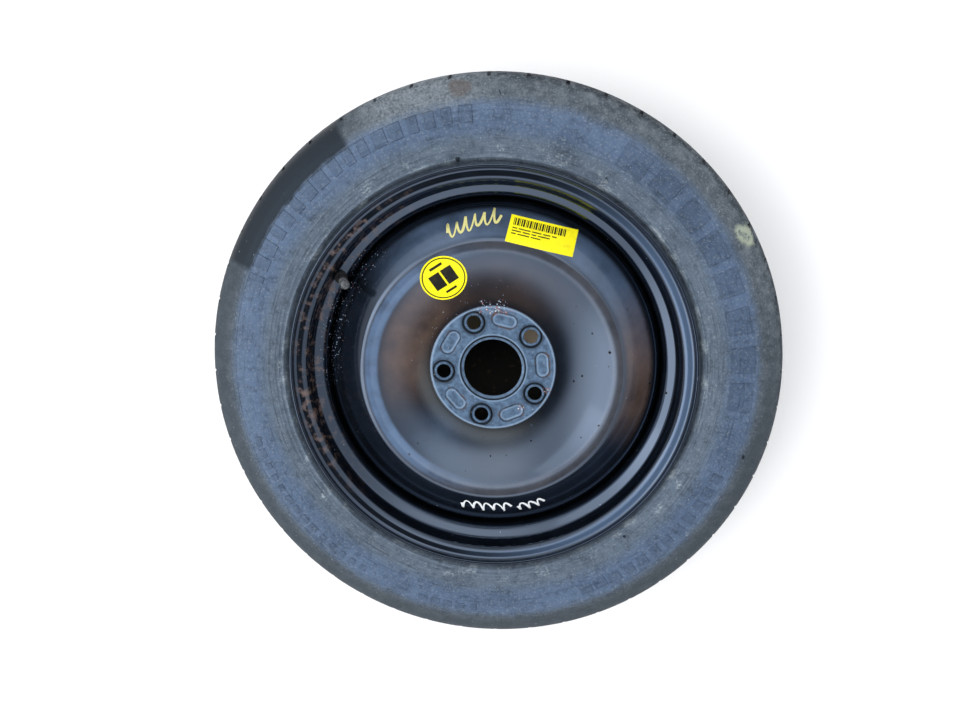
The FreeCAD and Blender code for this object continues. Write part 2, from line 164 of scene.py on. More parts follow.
class Graph(Nodes):
    """The nodes of one material, built up from a ground coat in films of colour and roughness."""

    def __init__(self, name: str, colour: str, roughness: float) -> None:
        """Starts a material.

        Args:
            name: The material's name.
            colour: sRGB hex code of the ground coat.
            roughness: Roughness of the ground coat.
        """
        self.material = bpy.data.materials.new(name)
        self.material.use_nodes = True
        super().__init__(self.material.node_tree)
        self.shader = self.tree.nodes["Principled BSDF"]
        self.colour: Any = hex_colour(colour)
        self.roughness: Any = roughness
        self.normal: Any = None
        metres = self.add("ShaderNodeTexCoord", out="Object")
        self.place = self.add("ShaderNodeVectorMath", {0: metres, "Scale": 1 / MM}, operation="SCALE")

    @cached_property
    def radius(self) -> Any:
        """Measures the distance from the wheel axis, in millimetres."""
        flat = self.add("ShaderNodeVectorMath", {0: self.place, 1: (1, 1, 0)}, operation="MULTIPLY")
        return self.add("ShaderNodeVectorMath", {0: flat}, operation="LENGTH", out="Value")

    @cached_property
    def parts(self) -> Any:
        """Splits each place, in millimetres, along the three axes."""
        return self.add("ShaderNodeSeparateXYZ", {0: self.place}).node.outputs

    @cached_property
    def angle(self) -> Any:
        """Measures the angle round the wheel axis, in degrees."""
        turn = self.add("ShaderNodeMath", {0: self.parts[1], 1: self.parts[0]}, operation="ARCTAN2")
        return self.add("ShaderNodeMath", {0: turn}, operation="DEGREES")

    def between(self, value: Any, low: float, high: float, soft: float) -> Any:
        """Masks a stretch of a measure, with soft ends.

        Args:
            value: Socket of the measure.
            low: Where the stretch starts.
            high: Where it ends.
            soft: Width of the soft ends.

        Returns:
            Socket of the mask.
        """
        ends = []
        for outside, inside in ((low - soft, low + soft), (high + soft, high - soft)):
            ramp = {"Value": value, "From Min": outside, "From Max": inside}
            ends.append(self.add("ShaderNodeMapRange", ramp, interpolation_type="SMOOTHSTEP"))
        return self.overlap(*ends)

    def ring(self, inner: float, outer: float, soft: float) -> Any:
        """Masks a ring round the axis, in millimetres, with soft edges."""
        return self.between(self.radius, inner, outer, soft)

    def overlap(self, mask: Any, *others: Any) -> Any:
        """Gives what some masks share, or a measure times a number.

        Args:
            mask: Socket of the first mask.
            *others: Sockets of the other masks, or numbers that thin it.

        Returns:
            Socket of the shared mask.
        """
        for other in others:
            mask = self.add("ShaderNodeMath", {0: mask, 1: other}, operation="MULTIPLY")
        return mask

    def cloud(self, size: float, low: float, high: float, stretch: Vector | None = None) -> Any:
        """Makes a cloudy mask.

        Args:
            size: Width of a cloud, in millimetres.
            low: Noise level where the mask starts.
            high: Noise level where it is full.
            stretch: Scale of the coordinates along each axis, if not even.

        Returns:
            Socket of the mask.
        """
        place = self.place
        if stretch is not None:
            place = self.add("ShaderNodeVectorMath", {0: place, 1: stretch}, operation="MULTIPLY")
        noise = self.add(
            "ShaderNodeTexNoise", {"Vector": place, "Scale": 1 / size, "Detail": 5.0, "Roughness": 0.6}
        )
        return self.add("ShaderNodeMapRange", {"Value": noise, "From Min": low, "From Max": high})

    def grains(self, spacing: float, share: float, size: float) -> Any:
        """Makes a mask of scattered specks.

        Args:
            spacing: Distance between the places that may hold a speck, in millimetres.
            share: Share of those places that do.
            size: Radius of the largest speck, in millimetres.

        Returns:
            Socket of the mask.
        """
        noise = {"Vector": self.place, "Scale": 1.2 / size, "Detail": 2.0}
        wander = self.add("ShaderNodeTexNoise", noise, out="Color")
        ragged = self.add("ShaderNodeVectorMath", {0: wander, "Scale": 1.4 * size}, operation="SCALE")
        place = self.add("ShaderNodeVectorMath", {0: self.place, 1: ragged}, operation="ADD")
        gap = self.add("ShaderNodeTexVoronoi", {"Vector": place, "Scale": 1 / spacing}, out="Distance")
        chance = self.add("ShaderNodeSeparateColor", {0: gap.node.outputs["Color"]})
        ramp = {"Value": chance, "From Min": 1 - share, "From Max": 1.0, "To Max": size / spacing}
        reach = self.add("ShaderNodeMapRange", ramp)
        inside = self.add("ShaderNodeMath", {0: reach, 1: gap}, operation="SUBTRACT")
        return self.add("ShaderNodeMapRange", {"Value": inside, "From Max": 0.3 * size / spacing})

    def streaks(self, width: float, low: float, high: float) -> Any:
        """Makes a mask of fine streaks that run round the axis.

        Args:
            width: Width of a streak, in millimetres.
            low: Noise level where the mask starts.
            high: Noise level where it is full.

        Returns:
            Socket of the mask.
        """
        across = self.overlap(self.radius, 1 / width)
        along = self.overlap(self.angle, 0.12)
        place = self.add("ShaderNodeCombineXYZ", {0: across, 1: along})
        noise = self.add("ShaderNodeTexNoise", {"Vector": place, "Scale": 1.0, "Detail": 4.0})
        return self.add("ShaderNodeMapRange", {"Value": noise, "From Min": low, "From Max": high})

    def from_pattern(self, first: float, count: int, circle: float, half: float) -> Any:
        """Measures the distance to the nearest of some marks spaced evenly round the axis.

        Args:
            first: Angle of the first mark, in degrees.
            count: Number of marks.
            circle: Radius of the circle that they stand on, in millimetres.
            half: Half the straight length of a mark along the circle; 0 for a round one.

        Returns:
            Socket of the distance, in millimetres.
        """
        pitch = 360 / count
        turned_on = self.add("ShaderNodeMath", {0: self.angle, 1: pitch / 2 - first}, operation="ADD")
        folded = self.add("ShaderNodeMath", {0: turned_on, 1: pitch}, operation="FLOORED_MODULO")
        local = self.add("ShaderNodeMath", {0: folded, 1: pitch / 2}, operation="SUBTRACT")
        turn = self.add("ShaderNodeMath", {0: local}, operation="RADIANS")
        out = self.overlap(self.radius, self.add("ShaderNodeMath", {0: turn}, operation="COSINE"))
        side = self.overlap(self.radius, self.add("ShaderNodeMath", {0: turn}, operation="SINE"))
        reach = self.add("ShaderNodeMath", {0: side}, operation="ABSOLUTE")
        past = self.add("ShaderNodeMath", {0: reach, 1: half}, operation="SUBTRACT")
        ends = self.add("ShaderNodeMath", {0: past, 1: 0.0}, operation="MAXIMUM")
        off = self.add("ShaderNodeMath", {0: out, 1: circle}, operation="SUBTRACT")
        gap = self.add("ShaderNodeCombineXYZ", {0: off, 1: ends})
        return self.add("ShaderNodeVectorMath", {0: gap}, operation="LENGTH", out="Value")

    def spot(self, centre: Vector, radius: float, ragged: float) -> Any:
        """Makes a mask of one ragged spot.

        Args:
            centre: The spot's middle, in metres.
            radius: Its radius, in millimetres.
            ragged: How far its edge wanders, in millimetres.

        Returns:
            Socket of the mask.
        """
        gap = self.add(
            "ShaderNodeVectorMath", {0: self.place, 1: centre / MM}, operation="DISTANCE", out="Value"
        )
        noise = self.add("ShaderNodeTexNoise", {"Vector": self.place, "Scale": 1 / radius, "Detail": 4.0})
        wander = self.add("ShaderNodeMapRange", {"Value": noise, "To Min": -ragged, "To Max": ragged})
        dark_edge_and_shade = self.add("ShaderNodeMath", {0: gap, 1: wander}, operation="ADD")
        return self.add("ShaderNodeMapRange", {"Value": dark_edge_and_shade, "From Min": radius, "From Max": radius * 0.6})

    def sector(self, middle: float, half: float, soft: float) -> Any:
        """Masks a sector round the axis.

        Args:
            middle: Angle of the sector's middle, in degrees.
            half: Half its width.
            soft: Width of its soft ends.

        Returns:
            Socket of the mask.
        """
        ahead = self.add("ShaderNodeMath", {0: self.angle, 1: 180 - middle}, operation="ADD")
        folded = self.add("ShaderNodeMath", {0: ahead, 1: 360.0}, operation="FLOORED_MODULO")
        off = self.add("ShaderNodeMath", {0: folded, 1: 180.0}, operation="SUBTRACT")
        return self.between(off, -half, half, soft)

    def stripe(self, start: Vector, end: Vector, width: float) -> Any:
        """Makes a mask of one straight streak.

        Args:
            start: Where it starts, in metres.
            end: Where it ends.
            width: Its width, in millimetres.

        Returns:
            Socket of the mask.
        """
        run = (end - start) / MM
        away = self.add("ShaderNodeVectorMath", {0: self.place, 1: start / MM}, operation="SUBTRACT")
        share = self.add(
            "ShaderNodeVectorMath", {0: away, 1: run / run.length_squared},
            operation="DOT_PRODUCT", out="Value",
        )
        held = self.add("ShaderNodeClamp", {0: share})
        foot = self.add("ShaderNodeVectorMath", {0: run, "Scale": held}, operation="SCALE")
        gap = self.add("ShaderNodeVectorMath", {0: away, 1: foot}, operation="DISTANCE", out="Value")
        return self.add(
            "ShaderNodeMapRange", {"Value": gap, "From Min": 0.6 * width, "From Max": 0.3 * width}
        )

    def lay(self, colour: str, roughness: float, *masks: Any) -> None:
        """Lays a film of another colour and roughness over what is there.

        Args:
            colour: sRGB hex code of the film.
            roughness: Roughness of the film.
            *masks: Sockets of the masks that the film lies in, or numbers that thin it.
        """
        mask = self.overlap(*masks)
        self.colour = self.add(
            "ShaderNodeMix", {0: mask, 6: self.colour, 7: hex_colour(colour)}, data_type="RGBA", out=2
        )
        self.roughness = self.add("ShaderNodeMix", {0: mask, 2: self.roughness, 3: roughness})

    def raise_by(self, height: Any, distance: float, strength: float = 1.0) -> None:
        """Raises the surface by a height map.

        Args:
            height: Socket of the height, from 0 to 1.
            distance: What a height of 1 stands for, in millimetres.
            strength: Strength of the bump.
        """
        inputs = {"Height": height, "Distance": distance * MM, "Strength": strength}
        if self.normal is not None:
            inputs["Normal"] = self.normal
        self.normal = self.add("ShaderNodeBump", inputs)

    def finish(self, **inputs: Any) -> bpy.types.Material:
        """Joins the films to the shader.

        Args:
            **inputs: Values or sockets for the shader's other inputs, with _ for a space in their names.

        Returns:
            The material.
        """
        self.join(self.colour, self.shader.inputs["Base Color"])
        self.join(self.roughness, self.shader.inputs["Roughness"])
        if self.normal is not None:
            self.join(self.normal, self.shader.inputs["Normal"])
        for name, value in inputs.items():
            self.join(value, self.shader.inputs[name.replace("_", " ")])
        return self.material


@dataclass(frozen=True)
class Finish:
    """A finish that pieces share: one material, made when it is first asked for."""

    name: str

    def material(self) -> bpy.types.Material:
        """Gives the finish's material, made once."""
        return bpy.data.materials.get(self.name) or self.make()

    def make(self) -> bpy.types.Material:
        """Makes the material."""
        raise NotImplementedError


@dataclass(frozen=True)
class StovedPaint(Finish):
    """Black stoving paint on pressed steel: deep black and glossy, with a thin dust film, dried rain, and a
    painted sheen, painted highlights and a painted brown reflection.
    """

    name: str = "stoved_black_paint"
    colour: str = "08090a"
    dusty: str = "1c1f23"
    brown_dust_and_reflection: str = "75563e"
    grey_blue_sheen: str = "5a6777"
    crest_highlight: str = "6c7e94"
    crest_dust: str = "6a6462"
    sand_film: str = "5f5a50"
    speck: str = "c2c8cb"
    rust: str = "93503c"
    drop: str = "020202"
    roughness: float = 0.15
    peel_size: float = 1.6

    def lay_dust(self, graph: Graph) -> None:
        """Lays the dust and the painted sheen: brown dust with a painted brown reflection and sandy dust in
        the dish, a painted grey-blue sheen on the outer slope and in the dish, pale dust and painted
        highlights on the crest and rim.

        Args:
            graph: The material's graph.
        """
        graph.lay(self.dusty, 0.24, graph.cloud(24.0, 0.4, 0.8), 0.4)
        broken = graph.cloud(38.0, 0.05, 0.75)
        dish = graph.overlap(graph.ring(74.0, 121.0, 8.0), broken)
        outer = graph.overlap(graph.ring(143.0, 171.0, 4.0), broken)
        foot = graph.ring(69.0, 84.0, 7.0)
        # painted reflection of brown surroundings, laid over dust, in the dish at the left and the top
        graph.lay(self.brown_dust_and_reflection, 0.3, dish, graph.sector(158.0, 38.0, 26.0), 0.9)
        graph.lay(self.brown_dust_and_reflection, 0.3, dish, graph.sector(75.0, 30.0, 26.0), 0.3)
        graph.lay(self.sand_film, 0.4, foot, graph.sector(235.0, 60.0, 30.0), 0.6)
        # painted grey-blue sheen, broken by cloud, in the dish at the lower left
        graph.lay(self.grey_blue_sheen, 0.4, dish, graph.sector(232.0, 16.0, 22.0), 0.4)
        graph.lay(self.sand_film, 0.3, dish, graph.sector(272.0, 14.0, 16.0), 0.3)
        # painted grey-blue sheen, broken by cloud, on the outer slope at the top
        graph.lay(self.grey_blue_sheen, 0.3, outer, graph.sector(70.0, 62.0, 20.0), 0.85)
        graph.lay(self.brown_dust_and_reflection, 0.3, outer, graph.sector(0.0, 22.0, 16.0), 0.9)
        crest = graph.overlap(graph.ring(124.5, 137.5, 2.0), graph.cloud(30.0, 0.0, 0.5))
        dark_edge_and_shade = graph.overlap(graph.ring(128.0, 140.0, 2.5), graph.cloud(30.0, 0.0, 0.6))
        graph.lay(self.crest_dust, 0.3, dark_edge_and_shade, 0.5)
        # painted highlight along the crest at the left
        graph.lay(self.crest_highlight, 0.25, crest, graph.sector(178.0, 62.0, 30.0), 0.85)
        # painted highlight on the rim's bead seat at the right
        seat = graph.overlap(graph.ring(204.0, 211.0, 1.2), graph.sector(345.0, 66.0, 28.0))
        graph.lay(self.crest_highlight, 0.25, seat, 0.55)
        gap = graph.overlap(graph.ring(188.0, 212.0, 4.0), graph.sector(165.0, 45.0, 20.0))
        graph.lay(self.brown_dust_and_reflection, 0.6, gap, graph.cloud(9.0, 0.5, 0.7))

    def lay_dirt(self, graph: Graph) -> Any:
        """Lays the grit, the chips by the pad and the valve, the rain drops and two pale runs.

        Args:
            graph: The material's graph.

        Returns:
            Socket of the gloss, which is 0 in the drops.
        """
        graph.lay(self.speck, 0.5, graph.grains(8.0, 0.2, 0.5))
        gritty = graph.overlap(graph.sector(112.0, 42.0, 18.0), graph.ring(66.0, 92.0, 14.0))
        graph.lay(self.speck, 0.6, graph.grains(2.4, 0.35, 0.55), gritty)
        for angle in (82.0, 97.0):
            chips = graph.spot(polar(69.5, angle, 29.5), 8.0, 4.0)
            graph.lay(self.rust, 0.8, chips, graph.grains(1.7, 0.8, 0.9))
            graph.lay(self.speck, 0.8, chips, graph.grains(1.9, 0.7, 0.8))
        by_valve = graph.overlap(graph.sector(160.0, 24.0, 8.0), graph.ring(168.0, 190.0, 6.0))
        graph.lay(self.speck, 0.7, by_valve, graph.grains(2.2, 0.5, 0.9))
        graph.lay(self.rust, 0.8, by_valve, graph.grains(4.0, 0.5, 0.9))
        wet = graph.overlap(graph.sector(305.0, 82.0, 24.0), graph.ring(78.0, 200.0, 8.0))
        drops = graph.overlap(graph.grains(9.0, 0.4, 1.8), wet)
        graph.lay(self.drop, 0.85, drops)
        graph.raise_by(drops, 0.5)
        for start, end in ((polar(104.0, 268.0, 33.0), polar(91.0, 270.0, 31.0)),
                           (polar(101.0, 275.0, 33.0), polar(92.0, 276.0, 31.0))):
            graph.lay(self.speck, 0.5, graph.stripe(start, end, 0.8), 0.7)
        return graph.add("ShaderNodeMath", {0: 1.0, 1: drops}, operation="SUBTRACT")

    def make(self) -> bpy.types.Material:
        """Gives the eye a blue-black mirror that goes soft and brown where dust and dried rain lie, with a
        painted grey-blue sheen, painted highlights on the crest and rim, and a painted brown reflection in
        the dish.
        """
        graph = Graph(self.name, self.colour, self.roughness)
        self.lay_dust(graph)
        gloss = self.lay_dirt(graph)
        graph.raise_by(graph.cloud(self.peel_size, 0.3, 0.7), 0.01, 0.4)
        return graph.finish(
            IOR=1.55, Specular_IOR_Level=graph.overlap(gloss, 0.82), Specular_Tint=SKY_TINT,
            Coat_Weight=graph.overlap(gloss, 0.6), Coat_Roughness=0.08, Coat_Tint=SKY_TINT,
        )


@dataclass(frozen=True)
class RubbedPaint(Finish):
    """Paint on the hub pad, rubbed dull by nuts and dust, with dirt and painted shade in its pressings and
    painted highlights on its edges.
    """

    name: str = "rubbed_pad_paint"
    colour: str = "3b4a5e"
    worn: str = "5f7893"
    painted_highlight: str = "8299b2"
    painted_shade: str = "060708"
    brown: str = "4a3526"
    rust: str = "93503c"
    flake: str = "d6d3cd"
    roughness: float = 0.34

    def lay_pressings(self, graph: Graph) -> None:
        """Paints shade into the nut seats, the walls of the oblongs and the edge of the bore, with brown
        dirt round the oblongs and painted highlights inside the oblongs and on the bore's lip.

        Args:
            graph: The material's graph.
        """
        seats = graph.from_pattern(FIRST_BOLT, BOLT_COUNT, BOLT_CIRCLE, 0.0)
        # painted shade in the sunk ring round each nut seat, fading outward, and down each bolt hole
        graph.lay(self.painted_shade, 0.3, graph.between(seats, 10.4, 13.0, 0.5))
        graph.lay(self.painted_shade, 0.4, graph.between(seats, 13.0, 15.0, 1.0), 0.4)
        graph.lay(self.painted_shade, 0.4, graph.between(seats, 0.0, 7.6, 0.3))
        middle = FIRST_BOLT + 180 / BOLT_COUNT
        oblongs = graph.from_pattern(middle, BOLT_COUNT, BOLT_CIRCLE, 6.5)
        # painted highlight inside each oblong's wall
        graph.lay(self.painted_highlight, 0.3, graph.between(oblongs, 4.4, 6.2, 0.8), 0.5)
        # painted shade, broken by cloud, in the crease round each oblong
        graph.lay(self.painted_shade, 0.4, graph.between(oblongs, 6.8, 8.0, 0.6), graph.cloud(9.0, 0.2, 0.5))
        graph.lay(self.brown, 0.7, graph.between(oblongs, 6.6, 8.6, 0.8), graph.cloud(7.0, 0.5, 0.65))
        # painted shade on the bore's chamfer
        graph.lay(self.painted_shade, 0.4, graph.ring(34.2, 36.2, 0.3))
        # painted highlight on the bore's lip
        graph.lay(self.painted_highlight, 0.3, graph.ring(36.4, 37.8, 0.4), 0.6)

    def make(self) -> bpy.types.Material:
        """Gives the eye a satin blue-grey with painted shade, near black, in the nut seats, painted
        highlights on its edges, and rust along its chipped edge.
        """
        graph = Graph(self.name, self.colour, self.roughness)
        graph.lay(self.worn, 0.4, graph.cloud(6.0, 0.35, 0.7))
        graph.lay(self.worn, 0.5, graph.cloud(1.6, 0.5, 0.7), 0.4)
        self.lay_pressings(graph)
        # painted highlight along the pad's edge
        graph.lay(self.painted_highlight, 0.3, graph.ring(66.2, 68.5, 0.6), 0.7)
        for radius, angle, size in ((66.0, 76.0, 7.0), (66.5, 85.0, 8.0), (66.5, 95.0, 8.0),
                                    (66.0, 104.0, 6.0), (63.0, -23.0, 6.0), (55.0, -56.0, 5.0)):
            chips = graph.spot(polar(radius, angle, 30.2), size, 4.0)
            graph.lay(self.rust, 0.8, chips, graph.grains(1.7, 0.9, 1.0))
            graph.lay(self.flake, 0.8, chips, graph.grains(1.9, 0.7, 0.8))
        graph.lay(self.flake, 0.6, graph.grains(4.0, 0.25, 0.45))
        graph.raise_by(graph.cloud(1.2, 0.3, 0.7), 0.03, 0.5)
        return graph.finish(IOR=1.5, Specular_Tint=SKY_TINT)


@dataclass(frozen=True)
class TyreRubber(Finish):
    """Weathered tyre rubber: a painted grey-blue sheen on the sidewall, duller shoulder, dust in the
    mouldings.
    """

    name: str = "weathered_tyre_rubber"
    bead: str = "55616f"
    blue_sheen: str = "4f6079"
    shoulder: str = "4b5258"
    dark_edge_and_shade: str = "2e3439"
    tread: str = "26282a"
    dust: str = "8b939a"
    wet: str = "06080a"
    scuff: str = "a3adb2"
    mud: str = "99a08f"
    brown: str = "4d4036"
    deepen: float = 0.0

    def lay_rings(self, graph: Graph) -> Any:
        """Lays the rings of colour from the bead to the tread, with a painted blue sheen on the middle of
        the sidewall.

        Args:
            graph: The material's graph.

        Returns:
            Socket of the radius with a wandering edge.
        """
        ragged = graph.add(
            "ShaderNodeMapRange", {"Value": graph.cloud(18.0, 0.2, 0.8), "To Min": -3.0, "To Max": 3.0}
        )
        rough_radius = graph.add("ShaderNodeMath", {0: graph.radius, 1: ragged}, operation="ADD")
        # painted blue sheen on the middle of the sidewall, up to the shoulder
        graph.lay(self.blue_sheen, 0.36, graph.between(rough_radius, 246.0, 400.0, 10.0))
        graph.lay(self.shoulder, 0.6, graph.between(rough_radius, 278.0, 400.0, 8.0))
        graph.lay(self.dark_edge_and_shade, 1.0, graph.between(rough_radius, 300.0, 400.0, 4.0))
        side = graph.add("ShaderNodeMath", {0: graph.parts[2]}, operation="ABSOLUTE")
        graph.lay(self.tread, 1.0, graph.between(side, -50.0, 43.0, 3.0))
        return rough_radius

    def lay_wear(self, graph: Graph) -> None:
        """Lays the dust, the scuffs by the rim, the dark mottling and the duller shoulder, with painted
        shade on the shoulder everywhere but its top right.

        Args:
            graph: The material's graph.
        """
        graph.lay(self.wet, 0.4, graph.cloud(55.0, 0.45, 0.8), 0.5)
        graph.lay(self.wet, 0.4, graph.cloud(7.0, 0.5, 0.7), 0.4)
        graph.lay(self.dust, 0.7, graph.cloud(2.2, 0.52, 0.7), 0.45)
        near_rim = graph.ring(222.0, 246.0, 5.0)
        graph.lay(self.dust, 0.6, graph.streaks(1.1, 0.5, 0.75), near_rim, 0.22)
        graph.lay(self.wet, 0.4, graph.streaks(2.6, 0.55, 0.7), 0.35)
        worn_line = graph.overlap(graph.ring(219.5, 226.0, 1.5), graph.cloud(20.0, 0.52, 0.7))
        graph.lay(self.scuff, 0.8, worn_line, graph.cloud(2.4, 0.35, 0.6), 0.8)
        clumps = graph.overlap(graph.ring(224.0, 236.0, 5.0), graph.cloud(26.0, 0.57, 0.68))
        graph.lay(self.scuff, 0.8, clumps, graph.cloud(2.4, 0.48, 0.62), 0.8)
        shoulder = graph.ring(282.0, 400.0, 9.0)
        graph.lay(self.dust, 0.7, shoulder, graph.cloud(11.0, 0.45, 0.7), 0.35)
        # painted shade: the shoulder darker everywhere but the top right
        graph.lay(self.dark_edge_and_shade, 0.7, shoulder, graph.sector(244.0, 122.0, 22.0), 0.75)

    def lay_stains(self, graph: Graph, rough_radius: Any) -> None:
        """Lays the wet patch, the dried splashes and the drips.

        Args:
            graph: The material's graph.
            rough_radius: Socket of the radius with a wandering edge.
        """
        upper = graph.between(graph.parts[2], 31.0, 90.0, 9.0)
        dark_edge_and_shade = graph.between(rough_radius, 276.0, 330.0, 5.0)
        grey = graph.overlap(graph.sector(104.0, 12.0, 5.0), dark_edge_and_shade, upper)
        graph.lay(self.dust, 0.75, grey, graph.cloud(2.6, 0.35, 0.75), 0.75)
        dark_edge_and_shade = graph.between(rough_radius, 275.5, 330.0, 2.5)
        graph.lay(self.wet, 0.5, dark_edge_and_shade, graph.sector(139.0, 17.5, 0.8), upper, 0.97)
        splash = graph.spot(polar(297.0, 29.5, 54.0), 14.0, 9.0)
        graph.lay(self.mud, 0.85, splash, graph.cloud(6.0, 0.36, 0.5))
        graph.lay(self.brown, 0.7, graph.spot(polar(295.0, 96.0, 55.0), 14.0, 8.0), 0.6)
        graph.lay(self.wet, 0.3, graph.stripe(polar(299.0, 88.7, 54.0), polar(266.5, 87.0, 61.0), 1.3))
        graph.lay(self.scuff, 0.8, graph.grains(4.5, 0.3, 0.55))
        graph.lay(self.wet, 0.3, graph.grains(30.0, 0.4, 3.4))

    def make(self) -> bpy.types.Material:
        """Gives the eye rubber with a painted blue sheen, fine pale dust and a dark wet patch."""
        graph = Graph(self.name, self.bead, 0.45)
        rough_radius = self.lay_rings(graph)
        self.lay_wear(graph)
        self.lay_stains(graph, rough_radius)
        if self.deepen:
            graph.lay(self.wet, 0.4, self.deepen)
        graph.raise_by(graph.cloud(1.1, 0.3, 0.7), 0.08, 0.7)
        return graph.finish(IOR=1.5, Specular_IOR_Level=0.4, Specular_Tint=SKY_TINT)


@dataclass(frozen=True)
class ValveRubber(Finish):
    """Moulded black rubber of the valve and its seals."""

    name: str = "moulded_valve_rubber"
    colour: str = "141416"

    def make(self) -> bpy.types.Material:
        """Gives the eye a matt black with a faint dusty bloom."""
        graph = Graph(self.name, self.colour, 0.6)
        graph.lay("4b4c4e", 0.8, graph.cloud(3.0, 0.5, 0.8), 0.5)
        graph.raise_by(graph.cloud(0.6, 0.3, 0.7), 0.02, 0.5)
        return graph.finish(IOR=1.5)


@dataclass(frozen=True)
class TurnedBrass(Finish):
    """Turned brass of the stem, core and pin."""

    name: str = "turned_brass"
    colour: str = "b08d4a"

    def make(self) -> bpy.types.Material:
        """Gives the eye a warm yellow metal with fine turning marks and brown tarnish."""
        graph = Graph(self.name, self.colour, 0.28)
        graph.lay("6d5530", 0.5, graph.cloud(2.5, 0.5, 0.8), 0.6)
        graph.raise_by(graph.cloud(0.3, 0.3, 0.7, Vector((1, 1, 4))), 0.005, 0.5)
        return graph.finish(Metallic=1.0)


@dataclass(frozen=True)
class SpringSteel(Finish):
    """Drawn spring steel of the core's coil."""

    name: str = "drawn_spring_steel"
    colour: str = "8f9296"

    def make(self) -> bpy.types.Material:
        """Gives the eye a bright grey wire."""
        graph = Graph(self.name, self.colour, 0.25)
        graph.lay("5c5f63", 0.4, graph.cloud(0.8, 0.5, 0.8), 0.5)
        return graph.finish(Metallic=1.0)


@dataclass(frozen=True)
class CapPlastic(Finish):
    """Moulded grey plastic of the dust cap."""

    name: str = "moulded_cap_plastic"
    colour: str = "45484b"

    def make(self) -> bpy.types.Material:
        """Gives the eye a dull dark grey with pale scuffs."""
        graph = Graph(self.name, self.colour, 0.45)
        graph.lay("a9adaf", 0.6, graph.cloud(2.5, 0.5, 0.75), 0.6)
        graph.raise_by(graph.cloud(0.5, 0.3, 0.7), 0.01, 0.5)
        return graph.finish(IOR=1.46)


@dataclass(frozen=True)
class LabelVinyl(Finish):
    """Printed vinyl: the yellow of a label or its dark print."""

    colour: str = "fff31a"
    grime: str = "8f7d2a"
    grime_share: float = 0.35

    def make(self) -> bpy.types.Material:
        """Gives the eye a flat bright film, scuffed and smeared with grime."""
        graph = Graph(self.name, self.colour, 0.38)
        graph.lay(self.grime, 0.6, graph.cloud(9.0, 0.5, 0.8), self.grime_share)
        graph.lay(self.grime, 0.6, graph.grains(5.0, 0.2, 0.5))
        graph.raise_by(graph.cloud(3.0, 0.3, 0.7), 0.02, 0.4)
        return graph.finish(IOR=1.5, Specular_IOR_Level=0.2)


@dataclass(frozen=True)
class MarkerPaint(Finish):
    """Paint from a marker pen, thin and broken on the gloss."""

    colour: str = "e4e9ec"

    def make(self) -> bpy.types.Material:
        """Gives the eye a chalky line that lets the black show through."""
        graph = Graph(self.name, self.colour, 0.65)
        graph.lay("3a3d40", 0.5, graph.cloud(1.6, 0.52, 0.75), 0.45)
        graph.raise_by(graph.cloud(0.8, 0.3, 0.7), 0.02, 0.5)
        return graph.finish(IOR=1.5)


@dataclass(frozen=True)
class Corner:
    """A corner of a turned section, in millimetres, with how far its bend reaches along its two runs."""

    radius: float
    z: float
    reach: float = 0.0
    flats: int = 4


def mirrored(corners: Sequence[Corner]) -> list[Corner]:
    """Gives the same corners on the other side of the wheel's middle, in reverse order."""
    return [Corner(corner.radius, -corner.z, corner.reach, corner.flats) for corner in reversed(corners)]


def draw_section(mesh: BMesh, corners: Sequence[Corner], closed: bool) -> None:
    """Draws a half section in the XZ plane and rounds its corners.

    Args:
        mesh: The mesh to draw in.
        corners: The section's corners in order.
        closed: Whether the last corner joins the first.
    """
    points = [mesh.verts.new(Vector((corner.radius, 0, corner.z)) * MM) for corner in corners]
    ends = points[1:] + points[:1] if closed else points[1:]
    for start, end in zip(points, ends):
        mesh.edges.new((start, end))
    for point, corner in zip(points, corners):
        if corner.reach:
            bmesh.ops.bevel(
                mesh, geom=[point], offset=corner.reach * MM, offset_type="OFFSET", affect="VERTICES",
                segments=corner.flats, profile=0.5, material=-1,
            )


def turn_section(mesh: BMesh, steps: int) -> None:
    """Turns the drawn section about Z into a closed ring of faces.

    Args:
        mesh: The mesh that holds the section.
        steps: Number of steps round.
    """
    bmesh.ops.spin(
        mesh, geom=mesh.verts[:] + mesh.edges[:], axis=(0, 0, 1), cent=(0, 0, 0), dvec=(0, 0, 0),
        angle=FULL_TURN, steps=steps, use_merge=True, use_duplicate=False,
    )
    bmesh.ops.remove_doubles(mesh, verts=mesh.verts[:], dist=1e-7)
    bmesh.ops.delete(mesh, geom=[dark_edge_and_shade for dark_edge_and_shade in mesh.edges if dark_edge_and_shade.is_wire], context="EDGES")
    bmesh.ops.recalc_face_normals(mesh, faces=mesh.faces[:])


def turned(corners: Sequence[Corner], steps: int) -> BMesh:
    """Makes a solid of revolution from a closed section.

    Args:
        corners: The section's corners.
        steps: Number of steps round.

    Returns:
        The mesh.
    """
    mesh = bmesh.new()
    draw_section(mesh, corners, closed=True)
    turn_section(mesh, steps)
    return mesh


def pressed(corners: Sequence[Corner], gauge: float, steps: int, outward: Vector) -> BMesh:
    """Makes a sheet-metal ring: an open line turned and given its gauge on the far side.

    Args:
        corners: The line's corners.
        gauge: Thickness of the sheet, in millimetres.
        steps: Number of steps round.
        outward: The way the drawn side faces at +X, where the line starts.

    Returns:
        The mesh.
    """
    mesh = bmesh.new()
    draw_section(mesh, corners, closed=False)
    turn_section(mesh, steps)
    first = min(
        mesh.faces,
        key=lambda face: (face.calc_center_median() - polar(corners[0].radius, 0, corners[0].z)).length,
    )
    if first.normal.dot(outward) < 0:
        bmesh.ops.reverse_faces(mesh, faces=mesh.faces[:])
    bmesh.ops.solidify(mesh, geom=mesh.faces[:], thickness=gauge * MM)
    return mesh


